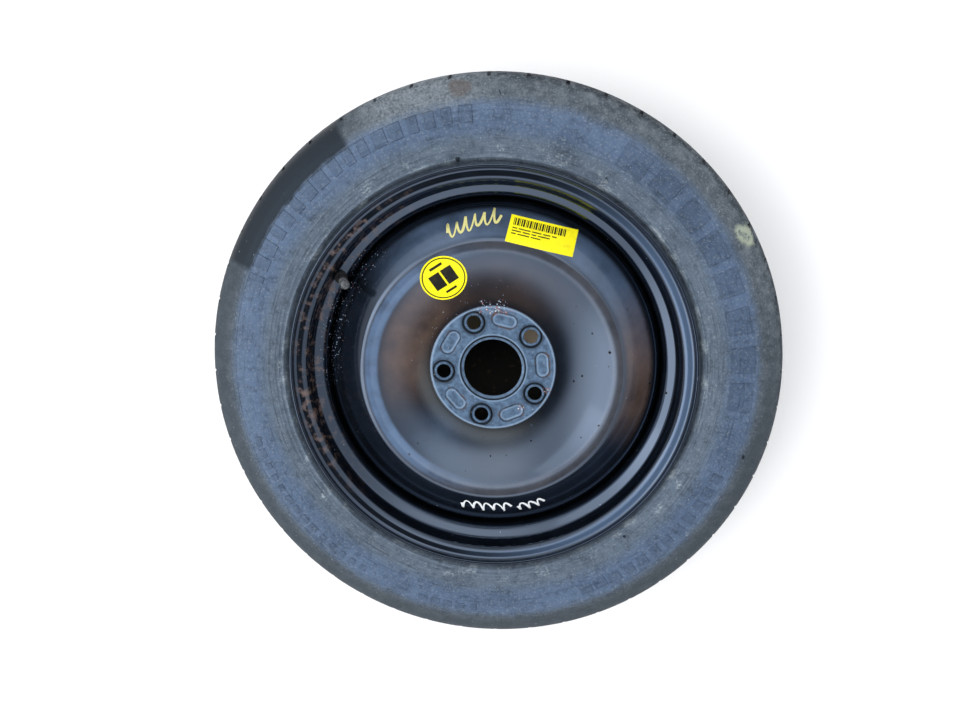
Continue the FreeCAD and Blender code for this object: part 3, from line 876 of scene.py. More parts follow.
def place_of(face: BMFace) -> tuple[float, float, float]:
    """Measures a face's middle about the wheel axis.

    Args:
        face: The face.

    Returns:
        Radius and height in millimetres, and the angle in degrees from 0 to 360.
    """
    middle = face.calc_center_median() / MM
    return math.hypot(middle.x, middle.y), middle.z, math.degrees(math.atan2(middle.y, middle.x)) % 360


def make_piece(name: str, mesh: BMesh, finishes: Sequence[Finish], sharp: float = 35.0) -> bpy.types.Object:
    """Makes a shaded object from a mesh.

    Args:
        name: The piece's name.
        mesh: Its mesh, which is freed.
        finishes: The finishes of its material slots.
        sharp: Angle above which an edge stays sharp, in degrees.

    Returns:
        The object.
    """
    data = bpy.data.meshes.new(name)
    mesh.to_mesh(data)
    mesh.free()
    piece = bpy.data.objects.new(name, data)
    bpy.context.scene.collection.objects.link(piece)
    for finish in finishes:
        data.materials.append(finish.material())
    shade(piece, sharp)
    return piece


def raise_faces(mesh: BMesh, faces: list[BMFace], inset: float, height: float) -> None:
    """Raises a patch of faces over the rest, or sinks it, with a narrow wall round it.

    Args:
        mesh: The mesh.
        faces: The faces of the patch.
        inset: Width of the wall seen from above, in millimetres.
        height: Height of the patch over the rest, in millimetres; under 0 it sinks.
    """
    bmesh.ops.inset_region(
        mesh, faces=faces, thickness=inset * MM, depth=height * MM, use_even_offset=True, use_boundary=True
    )


def shade(piece: bpy.types.Object, sharp: float) -> None:
    """Shades a piece smooth, save for its sharp edges.

    Args:
        piece: The object.
        sharp: Angle above which an edge stays sharp, in degrees.
    """
    piece.data.shade_smooth()
    piece.data.set_sharp_from_angle(angle=math.radians(sharp))


def cut_away(piece: bpy.types.Object, cutters: Iterable[bpy.types.Object]) -> None:
    """Cuts solids out of a piece and removes the cutters.

    Args:
        piece: The object to cut.
        cutters: The solids to take away.
    """
    cutters = list(cutters)
    for cutter in cutters:
        modifier = piece.modifiers.new(cutter.name, "BOOLEAN")
        modifier.operation = "DIFFERENCE"
        modifier.solver = "MANIFOLD"
        modifier.object = cutter
    bpy.context.view_layer.update()
    whole = piece.evaluated_get(bpy.context.evaluated_depsgraph_get())
    piece.data = bpy.data.meshes.new_from_object(whole)
    piece.modifiers.clear()
    for cutter in cutters:
        bpy.data.objects.remove(cutter)


def mount(piece: bpy.types.Object, body: Body, slot: Slot | None = None, *nodes: str) -> None:
    """Sets a piece on its body and hides the nodes it stands for.

    Args:
        piece: The object.
        body: The body it rides on.
        slot: Not used.
        *nodes: Nodes of the frame that it stands for.
    """
    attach(piece, body.value)
    if nodes:
        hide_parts(*nodes)
    LOG.info("%s: %d faces on %s", piece.name, len(piece.data.polygons), body.value)


def dress(node: str, finish: Finish) -> None:
    """Gives a node of the frame, which keeps its own shape, a finish."""
    data = frame["nodes"][node].data
    data.materials.clear()
    data.materials.append(finish.material())
    LOG.info("%s: dressed in %s", node, finish.name)


@dataclass
class BlockRun:
    """A run of plain raised blocks on the sidewall, in degrees and millimetres."""

    first_angle: float
    last_angle: float
    block: float
    gap: float
    inner_radius: float
    outer_radius: float


@dataclass
class Tyre:
    """The tyre: beads, bulged sidewalls with raised mouldings, and a notched tread."""

    radius: float = 309.4
    seat_radius: float = 203.1
    heel_z: float = 50.5
    rim_rib_radius: float = 223.5
    shoulder_radius: float = 286.0
    shoulder_z: float = 57.0
    tread_half: float = 42.0
    tread_drop: float = 4.0
    groove_spacing: float = 25.0
    groove_half: float = 3.0
    groove_depth: float = 5.5
    liner_depth: float = 10.0
    pitches: int = 48
    steps_a_pitch: int = 10
    notch_depth: float = 3.0
    notch_radius: float = 302.0
    notch_start: float = 33.0
    notch_end: float = 48.0
    wall_z: float = 50.0
    wall_facing: float = 0.5
    block_height: float = 0.8
    ring_height: float = 0.35

    def outer_side(self) -> list[Corner]:
        """Draws the outside from the bead's toe to the edge of the outer groove.

        Returns:
            The corners of the outboard half.
        """
        rib = self.rim_rib_radius
        dark_edge_and_shade = self.radius - self.tread_drop
        groove_edge = self.groove_spacing + self.groove_half
        return [
            Corner(self.seat_radius - 1.7, self.heel_z - 19.0),
            Corner(self.seat_radius, self.heel_z, 6.0),
            Corner(208.9, self.heel_z, 2.0),
            Corner(219.0, self.heel_z + 1.2, 1.5),
            Corner(rib - 0.9, 58.2, 0.6, 2),
            Corner(rib - 0.2, 59.4, 0.4, 2),
            Corner(rib + 0.9, 59.4, 0.4, 2),
            Corner(rib + 1.8, 58.4, 0.5, 2),
            Corner(255.4, 68.0, 31.0, 26),
            Corner(self.shoulder_radius, self.shoulder_z, 4.0),
            Corner(dark_edge_and_shade - 5.5, self.tread_half + 8.0, 4.5, 5),
            Corner(dark_edge_and_shade, self.tread_half, 2.0, 3),
            Corner(self.radius - 0.4, groove_edge),
        ]

    def grooves(self) -> list[Corner]:
        """Draws the three grooves from the outboard one to the inboard one.

        Returns:
            The corners between the tread's two outer ribs.
        """
        corners = []
        floor = self.radius - self.groove_depth
        floor_half = self.groove_half - 0.5
        for z in (self.groove_spacing, 0.0, -self.groove_spacing):
            corners += [Corner(floor, z + floor_half), Corner(floor, z - floor_half)]
            if z > -self.groove_spacing:
                corners += [
                    Corner(self.radius, z - self.groove_half),
                    Corner(self.radius, z - self.groove_spacing + self.groove_half),
                ]
        return corners

    def liner(self) -> list[Corner]:
        """Draws the inside from the inboard bead's toe round to the outboard one.

        Returns:
            The corners of the inside.
        """
        half = [
            Corner(self.rim_rib_radius, 45.0),
            Corner(256.0, 57.0, 10.0),
            Corner(self.shoulder_radius, 49.0),
            Corner(self.radius - self.liner_depth, 36.0),
        ]
        return mirrored(half)[::-1] + half[::-1]

    def blocks(self) -> list[BlockRun]:
        """Lists the runs of blocks that stand where such a tyre carries its mouldings."""
        return [
            BlockRun(-8.0, 62.0, 6.2, 2.6, 247.0, 272.0),
            BlockRun(94.0, 158.0, 2.6, 1.3, 258.0, 274.0),
            BlockRun(196.0, 238.0, 1.9, 1.2, 262.0, 271.0),
            BlockRun(252.0, 268.0, 1.9, 1.2, 266.0, 273.0),
            BlockRun(292.0, 336.0, 2.5, 1.3, 258.0, 270.0),
        ]

    def in_block(self, face: BMFace) -> bool:
        """Tells whether a face lies in one of the raised blocks.

        Args:
            face: A face of the turned tyre.

        Returns:
            True on the outboard sidewall inside a block.
        """
        radius, z, angle = place_of(face)
        if z < self.wall_z or face.normal.z < self.wall_facing:
            return False
        for run in self.blocks():
            along = (angle - run.first_angle) % 360
            on_block = along % (run.block + run.gap) < run.block
            in_run = along < run.last_angle - run.first_angle
            if on_block and in_run and run.inner_radius < radius < run.outer_radius:
                return True
        return False

    def in_ring(self, face: BMFace, inner: float, outer: float) -> bool:
        """Tells whether a face lies in a ring of one of the sidewalls."""
        radius, z, _ = place_of(face)
        on_wall = abs(z) > self.wall_z and abs(face.normal.z) > self.wall_facing
        return on_wall and inner < radius < outer

    def in_notch(self, face: BMFace) -> bool:
        """Tells whether a face lies in one of the short notches of the tread's edges.

        Args:
            face: A face of the turned tyre.

        Returns:
            True in the first column of each pitch, across the edge of the tread.
        """
        radius, z, angle = place_of(face)
        column = int(angle / 360 * self.pitches * self.steps_a_pitch) % self.steps_a_pitch
        on_edge = radius > self.notch_radius and self.notch_start < abs(z) < self.notch_end
        return column == 0 and on_edge and face.normal.xy.length > 0.3

    def build(self) -> None:
        """Builds the tyre, raises its mouldings and sets it on the wheel."""
        outboard = self.outer_side()
        section = outboard + self.grooves() + mirrored(outboard) + self.liner()
        mesh = turned(section, self.pitches * self.steps_a_pitch)
        blocks = [face for face in mesh.faces if self.in_block(face)]
        for face in blocks:
            face.material_index = 1
        raise_faces(mesh, blocks, 0.5, self.block_height)
        for inner, outer in ((227.0, 229.6), (232.5, 235.0), (238.0, 240.0), (275.5, 278.5)):
            ring = [face for face in mesh.faces if self.in_ring(face, inner, outer)]
            raise_faces(mesh, ring, 0.4, self.ring_height)
        notches = [face for face in mesh.faces if self.in_notch(face)]
        raise_faces(mesh, notches, 0.3, -self.notch_depth)
        tyre = make_piece(
            "tyre_carcass", mesh, [TyreRubber(), TyreRubber("moulded_block_rubber", deepen=0.2)]
        )
        mount(tyre, Body.WHEEL, Slot.TYRE, "tyre")


@dataclass
class Valve:
    """The snap-in valve on the axis of the cap's joint: rubber tower, threaded stem and ribbed cap."""

    joint_height: float = 20.0
    shoulder_radius: float = 7.0
    shoulder_top: float = 6.0
    tower_radius: float = 5.2
    tower_top: float = 17.0
    neck_radius: float = 5.7
    neck_top: float = 2.95
    bulb_radius: float = 6.4
    bulb_end: float = -9.15
    bore: float = 2.92
    thread_radius: float = 3.84
    thread_depth: float = 0.45
    thread_pitch: float = 0.794
    stem_top: float = 28.0
    chamber_radius: float = 2.6
    cap_radius: float = 4.9
    cap_inner: float = 3.9
    cap_skirt: float = 17.6
    cap_ceiling: float = 28.94
    cap_top: float = 30.14
    cap_ribs: int = 24
    coil_radius: float = 0.93
    coil_wire: float = 0.15
    coil_turns: int = 3
    coil_foot: float = 9.02
    coil_length: float = 5.0
    pin_travel: float = 1.2

    def stand(self) -> Matrix:
        """Finds the valve's place from the cap's joint.

        Returns:
            The matrix that stands a piece, built along Z, on the rim.
        """
        joint = next(j for j in frame["joints"] if j["name"] == "cap_turn")
        axis = Vector(joint["axis"]).normalized()
        foot = Vector(joint["pos_m"]) - axis * self.joint_height * MM
        return Matrix.Translation(foot) @ axis.to_track_quat("Z", "Y").to_matrix().to_4x4()

    def raise_piece(self, name: str, mesh: BMesh, finish: Finish) -> bpy.types.Object:
        """Stands a mesh built along Z on the rim and makes it a piece."""
        bmesh.ops.transform(mesh, matrix=self.stand(), verts=mesh.verts[:])
        return make_piece(name, mesh, [finish])

    def build_tower(self) -> None:
        """Builds the rubber with its bulb, neck, shoulder and the collar at its top."""
        mesh = turned([
            Corner(self.bore, self.bulb_end),
            Corner(self.bulb_radius, self.bulb_end, 2.0),
            Corner(self.bulb_radius, -0.15, 0.4),
            Corner(self.neck_radius, -0.15),
            Corner(self.neck_radius, self.neck_top),
            Corner(self.shoulder_radius, self.neck_top, 0.4),
            Corner(self.shoulder_radius, self.shoulder_top, 1.2),
            Corner(self.tower_radius, self.shoulder_top + 1.6, 1.5),
            Corner(self.tower_radius - 0.3, self.tower_top - 3.0, 0.5),
            Corner(self.tower_radius, self.tower_top - 2.2, 0.4),
            Corner(self.tower_radius, self.tower_top, 0.5),
            Corner(self.bore, self.tower_top),
        ], 64)
        tower = self.raise_piece("valve_tower", mesh, ValveRubber())
        mount(tower, Body.WHEEL, Slot.VALVE_RUBBER, "valve_body")

    def build_stem(self) -> None:
        """Builds the brass stem; its fine thread is drawn as rings of the same pitch."""
        foot = self.bulb_end - 1.0
        outside = [Corner(1.7, foot), Corner(2.9, foot), Corner(2.9, self.tower_top)]
        turns = int((self.stem_top - self.tower_top - 1.0) / self.thread_pitch)
        for index in range(turns):
            z = self.tower_top + 0.5 + index * self.thread_pitch
            outside += [
                Corner(self.thread_radius - self.thread_depth, z),
                Corner(self.thread_radius, z + self.thread_pitch / 2),
            ]
        inside = [
            Corner(self.thread_radius - self.thread_depth, self.stem_top),
            Corner(self.chamber_radius, self.stem_top),
            Corner(self.chamber_radius, 16.0),
            Corner(1.7, 15.0),
        ]
        stem = self.raise_piece("valve_threaded_stem", turned(outside + inside, 48), TurnedBrass())
        mount(stem, Body.WHEEL, Slot.BRASS, "valve_stem")

    def build_cap(self) -> None:
        """Builds the dust cap with ribs round its wall."""
        blue_sheen = self.cap_radius - 0.25
        mesh = turned([
            Corner(self.cap_inner, self.cap_skirt),
            Corner(self.cap_radius, self.cap_skirt, 0.2, 2),
            Corner(self.cap_radius, self.cap_skirt + 1.4, 0.2, 2),
            Corner(blue_sheen, self.cap_skirt + 1.8),
            Corner(blue_sheen, self.cap_top - 1.6),
            Corner(blue_sheen - 0.4, self.cap_top - 0.9, 0.4),
            Corner(blue_sheen - 1.6, self.cap_top, 0.6),
            Corner(0.0, self.cap_top),
            Corner(0.0, self.cap_ceiling),
            Corner(self.cap_inner, self.cap_ceiling),
        ], 4 * self.cap_ribs)
        ribs = []
        for face in mesh.faces:
            radius, z, angle = place_of(face)
            on_wall = radius > blue_sheen - 0.1 and self.cap_skirt + 1.9 < z < self.cap_top - 1.5
            if on_wall and int(angle / 360 * 4 * self.cap_ribs) % 4 < 2:
                ribs.append(face)
        raise_faces(mesh, ribs, 0.06, 0.2)
        cap = self.raise_piece("valve_ribbed_cap", mesh, CapPlastic())
        mount(cap, Body.CAP, Slot.CAP, "valve_cap")

    def build_coil(self) -> None:
        """Builds the core's spring."""
        steps = 24 * self.coil_turns
        rise = (self.coil_length - 2 * self.coil_wire) / steps
        start = Vector((self.coil_radius, 0, self.coil_foot + self.coil_wire)) * MM
        mesh = bmesh.new()
        bmesh.ops.create_circle(
            mesh, radius=self.coil_wire * MM, segments=10,
            matrix=Matrix.Translation(start) @ Matrix.Rotation(math.pi / 2, 4, "X"),
        )
        bmesh.ops.spin(
            mesh, geom=mesh.verts[:] + mesh.edges[:], cent=(0, 0, 0), axis=(0, 0, 1),
            dvec=(0, 0, rise * MM), angle=FULL_TURN * self.coil_turns, steps=steps,
        )
        bmesh.ops.holes_fill(mesh, edges=[dark_edge_and_shade for dark_edge_and_shade in mesh.edges if dark_edge_and_shade.is_boundary])
        bmesh.ops.recalc_face_normals(mesh, faces=mesh.faces[:])
        coil = self.raise_piece("valve_coil_spring", mesh, SpringSteel())
        mount(coil, Body.WHEEL, Slot.SPRING, "valve_spring")
        stand = self.stand()
        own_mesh(coil)

    def dress_core(self) -> None:
        """Dresses the nodes inside the stem and the cap, which keep their own shape."""
        finishes = {
            "valve_core_body": TurnedBrass(),
            "valve_pin": TurnedBrass(),
            "valve_core_gasket": ValveRubber(),
            "valve_pin_seal": ValveRubber(),
            "valve_cap_seal": ValveRubber(),
        }
        for node, finish in finishes.items():
            dress(node, finish)

    def cutter(self, radius: float) -> bpy.types.Object:
        """Makes the drill of the rim's valve hole."""
        mesh = turned([Corner(0, -5.0), Corner(radius, -5.0), Corner(radius, 9.0), Corner(0, 9.0)], 48)
        return self.raise_piece("valve_drill", mesh, ValveRubber())

    def build(self) -> None:
        """Builds and dresses the whole valve."""
        self.build_tower()
        self.build_stem()
        self.build_cap()
        self.build_coil()
        self.dress_core()


@dataclass
class SteelWheel:
    """The rim, the pressed disc and the welds that join them."""

    flange_radius: float = 216.9
    lip_z: float = 59.8
    flange_z: float = 50.8
    seat_radius: float = 202.8
    seat_end_radius: float = 201.05
    seat_end_z: float = 30.8
    well_radius: float = 187.0
    ledge_foot_z: float = 23.64
    well_end_z: float = -18.0
    rim_gauge: float = 2.8
    disc_gauge: float = 4.2
    bore_radius: float = 31.7
    pad_radius: float = 68.0
    pad_z: float = 30.2
    crest_z: float = 49.5
    crest_inner: float = 133.0
    crest_outer: float = 141.0
    edge_radius: float = 183.9
    edge_z: float = -14.0
    bolt_radius: float = 7.8
    valve_hole: float = 5.75
    oblong_straight: float = 6.5
    oblong_floor: float = 5.2
    oblong_depth: float = 0.9
    steps: int = 288

    def build_rim(self, valve: Valve) -> bpy.types.Object:
        """Builds the rim and drills its valve hole.

        Args:
            valve: The valve, which knows where the hole is.

        Returns:
            The rim.
        """
        outboard = [
            Corner(self.flange_radius, self.lip_z),
            Corner(self.flange_radius, self.flange_z, 8.0, 9),
            Corner(self.seat_radius, self.flange_z, 5.0, 6),
            Corner(self.seat_end_radius, self.seat_end_z, 5.0, 8),
        ]
        well = [
            Corner(self.well_radius, self.ledge_foot_z, 5.0, 8),
            Corner(self.well_radius, self.well_end_z, 3.0, 5),
        ]
        section = outboard + well + mirrored(outboard)
        mesh = pressed(section, self.rim_gauge, self.steps, Vector((1, 0, 0)))
        lips = [
            dark_edge_and_shade for dark_edge_and_shade in mesh.edges
            if all(abs(abs(v.co.z) - self.lip_z * MM) < 1e-6 for v in dark_edge_and_shade.verts)
            and abs(dark_edge_and_shade.verts[0].co.xy.length - dark_edge_and_shade.verts[1].co.xy.length) < 1e-6
        ]
        bmesh.ops.bevel(
            mesh, geom=lips, offset=0.8 * MM, offset_type="OFFSET", affect="EDGES",
            segments=3, profile=0.5, material=-1,
        )
        rim = make_piece("rim_barrel", mesh, [StovedPaint()])
        cut_away(rim, [valve.cutter(self.valve_hole)])
        shade(rim, 35.0)
        mount(rim, Body.WHEEL, Slot.PAINT, "rim")
        return rim

    def seat_cutter(self, index: int) -> bpy.types.Object:
        """Makes the cutter of one bolt hole with its conical nut seat."""
        mesh = turned([
            Corner(0, self.pad_z - 8.0),
            Corner(self.bolt_radius, self.pad_z - 8.0),
            Corner(self.bolt_radius, self.pad_z - 1.7),
            Corner(self.bolt_radius + 0.6, self.pad_z - 1.1),
            Corner(9.6, self.pad_z - 1.1),
            Corner(10.5, self.pad_z - 2.1),
            Corner(11.2, self.pad_z - 2.2),
            Corner(13.0, self.pad_z - 0.3),
            Corner(13.5, self.pad_z),
            Corner(14.6, self.pad_z + 1.0),
            Corner(0, self.pad_z + 1.0),
        ], 64)
        angle = FIRST_BOLT + index * 360 / BOLT_COUNT
        bmesh.ops.translate(mesh, vec=polar(BOLT_CIRCLE, angle), verts=mesh.verts[:])
        return make_piece(f"seat_cutter_{index}", mesh, [RubbedPaint()])

    def oblong_cutter(self, index: int) -> bpy.types.Object:
        """Makes the cutter of one coined oblong between two bolt holes."""
        half = self.oblong_straight * MM
        mesh = bmesh.new()
        bmesh.ops.create_circle(mesh, cap_ends=True, segments=48, radius=self.oblong_floor * MM)
        for vert in mesh.verts:
            vert.co.y += math.copysign(half, vert.co.y)
        base = mesh.faces[:]
        for rise, grow in ((0.2, 0.4), (0.5, 1.3), (0.2, 0.6), (0.2, 1.0)):
            blue_sheen = bmesh.ops.extrude_face_region(mesh, geom=base)
            inside = [face for face in base if not any(dark_edge_and_shade.is_contiguous for dark_edge_and_shade in face.edges)]
            bmesh.ops.delete(mesh, geom=inside, context="FACES_ONLY")
            verts = [item for item in blue_sheen["geom"] if isinstance(item, bmesh.types.BMVert)]
            base = [item for item in blue_sheen["geom"] if isinstance(item, BMFace)]
            bmesh.ops.translate(mesh, vec=Vector((0, 0, rise * MM)), verts=verts)
            for vert in verts:
                outward = Vector((vert.co.x, vert.co.y - math.copysign(half, vert.co.y), 0))
                vert.co += outward.normalized() * grow * MM
        bmesh.ops.recalc_face_normals(mesh, faces=mesh.faces[:])
        angle = FIRST_BOLT + (index + 0.5) * 360 / BOLT_COUNT
        stand = Matrix.Rotation(math.radians(angle), 4, "Z") @ Matrix.Translation(
            Vector((BOLT_CIRCLE, 0, self.pad_z - self.oblong_depth)) * MM
        )
        bmesh.ops.transform(mesh, matrix=stand, verts=mesh.verts[:])
        return make_piece(f"oblong_cutter_{index}", mesh, [RubbedPaint()])

    def bore_cutter(self) -> bpy.types.Object:
        """Makes the cutter of the bore's chamfer."""
        mesh = turned([
            Corner(0, self.pad_z - 2.25),
            Corner(self.bore_radius - 1.6, self.pad_z - 2.25),
            Corner(self.bore_radius + 4.8, self.pad_z + 0.75),
            Corner(0, self.pad_z + 0.75),
        ], self.steps)
        return make_piece("bore_cutter", mesh, [RubbedPaint()])

    def build_disc(self) -> bpy.types.Object:
        """Builds the pressed disc and cuts its pad.

        Returns:
            The disc.
        """
        mesh = pressed([
            Corner(self.bore_radius, self.pad_z),
            Corner(self.pad_radius - 0.6, self.pad_z, 0.6, 3),
            Corner(self.pad_radius + 0.8, self.pad_z - 0.7, 0.7, 3),
            Corner(98.0, 32.2, 26.0, 14),
            Corner(self.crest_inner, self.crest_z, 5.0, 6),
            Corner(self.crest_outer, self.crest_z, 2.8, 5),
            Corner(self.edge_radius, 18.3, 11.0, 9),
            Corner(self.edge_radius, self.edge_z),
        ], self.disc_gauge, self.steps, Vector((0, 0, 1)))
        disc = make_piece("pressed_disc", mesh, [StovedPaint(), RubbedPaint()])
        cutters = [self.bore_cutter()]
        for index in range(BOLT_COUNT):
            cutters += [self.seat_cutter(index), self.oblong_cutter(index)]
        cut_away(disc, cutters)
        shade(disc, 24.0)
        underside = self.pad_z - self.disc_gauge + 0.1
        for polygon in disc.data.polygons:
            middle = polygon.center / MM
            on_pad = math.hypot(middle.x, middle.y) < self.pad_radius and middle.z > underside
            polygon.material_index = 1 if on_pad else 0
        mount(disc, Body.WHEEL, Slot.PAINT, "wheel_disc")
        return disc

    def dress_welds(self) -> None:
        """Dresses the welds in the same paint as the pieces that they join."""
        dress("weld_beads", StovedPaint())


class Ground:
    """The steel that labels and marks are laid on; start_height, in metres, is well above it."""

    start_height: float = 0.2

    def __init__(self, pieces: Iterable[bpy.types.Object]) -> None:
        """Reads the pieces' surfaces.

        Args:
            pieces: The objects that carry labels.
        """
        depsgraph = bpy.context.evaluated_depsgraph_get()
        self.trees = [BVHTree.FromObject(piece, depsgraph) for piece in pieces]

    def lower(self, mesh: BMesh, lift: float) -> None:
        """Lowers a flat mesh on to the steel.

        Args:
            mesh: A mesh drawn in plan.
            lift: How far it stands off the steel, in millimetres.
        """
        for vert in mesh.verts:
            above = Vector((vert.co.x, vert.co.y, self.start_height))
            hits = [tree.ray_cast(above, Vector((0, 0, -1))) for tree in self.trees]
            found = [(place, normal) for place, normal, _, _ in hits if place is not None]
            place, normal = max(found, key=lambda hit: hit[0].z)
            vert.co = place + normal * lift * MM
        bmesh.ops.recalc_face_normals(mesh, faces=mesh.faces[:])


@dataclass
class Sheet:
    """A label's place: its middle round the axis, its turn, and the foreshortening of its slope."""

    radius: float
    angle: float
    turn: float
    foreshortening: float

    def plan(self) -> Matrix:
        """Gives the matrix from the label's own plane to the plan view.

        Returns:
            Shrinks the label across the slope, then turns and moves it to its place.
        """
        middle = polar(self.radius, self.angle)
        across = Matrix.Scale(self.foreshortening, 4, Vector((0, 1, 0)))
        return Matrix.Translation(middle) @ Matrix.Rotation(math.radians(self.turn), 4, "Z") @ across


@dataclass
class Labels:
    """The two yellow labels on the disc, with generic bars for print."""

    round_radius: float = 25.0
    ring_outer: float = 23.2
    ring_inner: float = 22.0
    label_width: float = 72.0
    label_height: float = 34.0
    sheet_lift: float = 0.12
    print_lift: float = 0.22
    thickness: float = 0.08
    cell: float = 2.0
    yellow: LabelVinyl = LabelVinyl("yellow_vinyl")
    ink: LabelVinyl = LabelVinyl("black_print", "15150f", "4a4632")

    def bar(self, mesh: BMesh, x: float, y: float, width: float, height: float) -> None:
        """Draws one bar of print, cut finely enough to follow the steel.

        Args:
            mesh: The print's mesh.
            x: Middle across the label, in millimetres.
            y: Middle up the label.
            width: Width of the bar.
            height: Height of the bar.
        """
        columns = max(1, round(width / self.cell))
        rows = max(1, round(height / self.cell))
        made = bmesh.ops.create_grid(mesh, x_segments=columns, y_segments=rows, size=0.5 * MM)
        bmesh.ops.scale(mesh, vec=Vector((width, height, 1)), verts=made["verts"])
        bmesh.ops.translate(mesh, vec=Vector((x, y, 0)) * MM, verts=made["verts"])

    def set_down(
        self, name: str, mesh: BMesh, sheet: Sheet, ground: Ground, lift: float, finish: Finish
    ) -> None:
        """Lays one film of a label on the steel and gives it thickness.

        Args:
            name: The piece's name.
            mesh: The film, drawn in its own plane.
            sheet: The label's place.
            ground: The steel.
            lift: Height over the steel, in millimetres.
            finish: The film's finish.
        """
        bmesh.ops.transform(mesh, matrix=sheet.plan(), verts=mesh.verts[:])
        ground.lower(mesh, lift)
        if mesh.faces[0].normal.z < 0:
            bmesh.ops.reverse_faces(mesh, faces=mesh.faces[:])
        bmesh.ops.solidify(mesh, geom=mesh.faces[:], thickness=self.thickness * MM)
        mount(make_piece(name, mesh, [finish]), Body.WHEEL)

    def build_round(self, ground: Ground) -> None:
        """Builds the round label: a disc, a thin ring and plain bars."""
        sheet = Sheet(112.0, 117.2, 32.0, 0.95)
        disc = bmesh.new()
        bmesh.ops.create_circle(
            disc, cap_ends=True, cap_tris=True, segments=64, radius=self.round_radius * MM
        )
        bmesh.ops.subdivide_edges(disc, edges=disc.edges[:], cuts=5, use_grid_fill=True)
        self.set_down("round_label", disc, sheet, ground, self.sheet_lift, self.yellow)
        mark = bmesh.new()
        inner = bmesh.ops.create_circle(mark, segments=64, radius=self.ring_inner * MM)["verts"]
        outer = bmesh.ops.create_circle(mark, segments=64, radius=self.ring_outer * MM)["verts"]
        edges = [dark_edge_and_shade for dark_edge_and_shade in mark.edges if dark_edge_and_shade.verts[0] in inner or dark_edge_and_shade.verts[0] in outer]
        bmesh.ops.bridge_loops(mark, edges=edges)
        for x in (-7.4, 7.4):
            self.bar(mark, x, 0.0, 12.6, 18.0)
        self.bar(mark, 0.0, 15.4, 15.0, 2.8)
        self.bar(mark, 0.0, -15.4, 13.0, 2.6)
        self.set_down("round_label_print", mark, sheet, ground, self.print_lift, self.ink)

    def build_oblong(self, ground: Ground) -> None:
        """Builds the oblong label: a field with a row of bars and lines of dashes."""
        sheet = Sheet(153.0, 70.0, -13.7, 0.81)
        field = bmesh.new()
        self.bar(field, 0, 0, self.label_width, self.label_height)
        self.set_down("oblong_label", field, sheet, ground, self.sheet_lift, self.yellow)
        mark = bmesh.new()
        left = -self.label_width / 2 + 4.0
        x = left
        for index in range(26):
            width = 0.7 + 0.6 * ((index * 7) % 3)
            self.bar(mark, x + width / 2, 9.5, width, 9.0)
            x += width + 0.7 + 0.4 * ((index * 5) % 2)
        for row in range(3):
            x = left
            for index in range(5 - row):
                width = 5.0 + 2.5 * ((index * 3 + row * 2) % 4)
                self.bar(mark, x + width / 2, 1.5 - row * 3.4, width, 1.3)
                x += width + 1.8
        self.set_down("oblong_label_print", mark, sheet, ground, self.print_lift, self.ink)


@dataclass(frozen=True)
class Scrawl:
    """A wavy line round the disc: its radius and angle at both ends, its waves and their height in plan."""

    first_radius: float
    last_radius: float
    first_angle: float
    last_angle: float
    waves: int
    tall: float

    def point(self, along: float) -> Vector:
        """Finds a point of the line.

        Args:
            along: Share of the line's length.

        Returns:
            The point in plan, in metres.
        """
        phase = FULL_TURN * self.waves * along
        height = 0.5 * self.tall * math.sin(phase) * (0.85 + 0.15 * math.cos(2.3 * phase / self.waves))
        lean = 0.18 * math.sin(phase + 0.8) / self.waves
        radius = self.first_radius + (self.last_radius - self.first_radius) * along
        angle = self.first_angle + (self.last_angle - self.first_angle) * (along + lean)
        return polar(radius + height, angle)


@dataclass
class HandMarks:
    """Plain hand strokes of marker on the disc's outer slope."""

    stroke_width: float = 2.8
    steps_a_wave: int = 24
    lift: float = 0.1
    thickness: float = 0.06
    pale_yellow: MarkerPaint = MarkerPaint("pale_yellow_marker", "d8d288")
    white: MarkerPaint = MarkerPaint("white_marker", "eef2f4")

    def scribble(self, mesh: BMesh, line: Scrawl) -> None:
        """Draws one wavy line in plan, with its width square to its run.

        Args:
            mesh: The marks' mesh.
            line: The line.
        """
        made = bmesh.ops.create_grid(
            mesh, x_segments=self.steps_a_wave * line.waves, y_segments=1, size=0.5
        )
        for vert in made["verts"]:
            along = vert.co.x + 0.5
            run = line.point(along + 0.001) - line.point(along - 0.001)
            across = Vector((-run.y, run.x, 0)).normalized()
            width = self.stroke_width * (0.8 + 0.2 * math.cos(3 * FULL_TURN * along)) * MM
            vert.co = line.point(along) + across * width * vert.co.y

    def build_row(self, name: str, lines: Sequence[Scrawl], finish: MarkerPaint, ground: Ground) -> None:
        """Builds the wavy lines of one hand on the disc.

        Args:
            name: The piece's name.
            lines: The lines.
            finish: The marker's finish.
            ground: The steel.
        """
        mesh = bmesh.new()
        for line in lines:
            self.scribble(mesh, line)
        ground.lower(mesh, self.lift)
        for face in mesh.faces:
            if face.normal.z < 0:
                face.normal_flip()
        bmesh.ops.solidify(mesh, geom=mesh.faces[:], thickness=self.thickness * MM)
        mount(make_piece(name, mesh, [finish]), Body.WHEEL)

    def build(self, ground: Ground) -> None:
        """Builds the two rows of strokes."""
        yellow = [Scrawl(154.0, 165.0, 108.0, 87.0, 6, 16.0)]
        white = [Scrawl(157.0, 158.0, 256.5, 277.0, 5, 13.0), Scrawl(159.0, 161.0, 279.5, 290.5, 3, 12.0)]
        self.build_row("yellow_hand_marks", yellow, self.pale_yellow, ground)
        self.build_row("white_hand_marks", white, self.white, ground)


@dataclass(frozen=True)
class Patch:
    """A patch of the studio's sky: its direction, the angles where it is full and ends, and its colour."""

    direction: tuple[float, float, float]
    full: float
    end: float
    colour: str


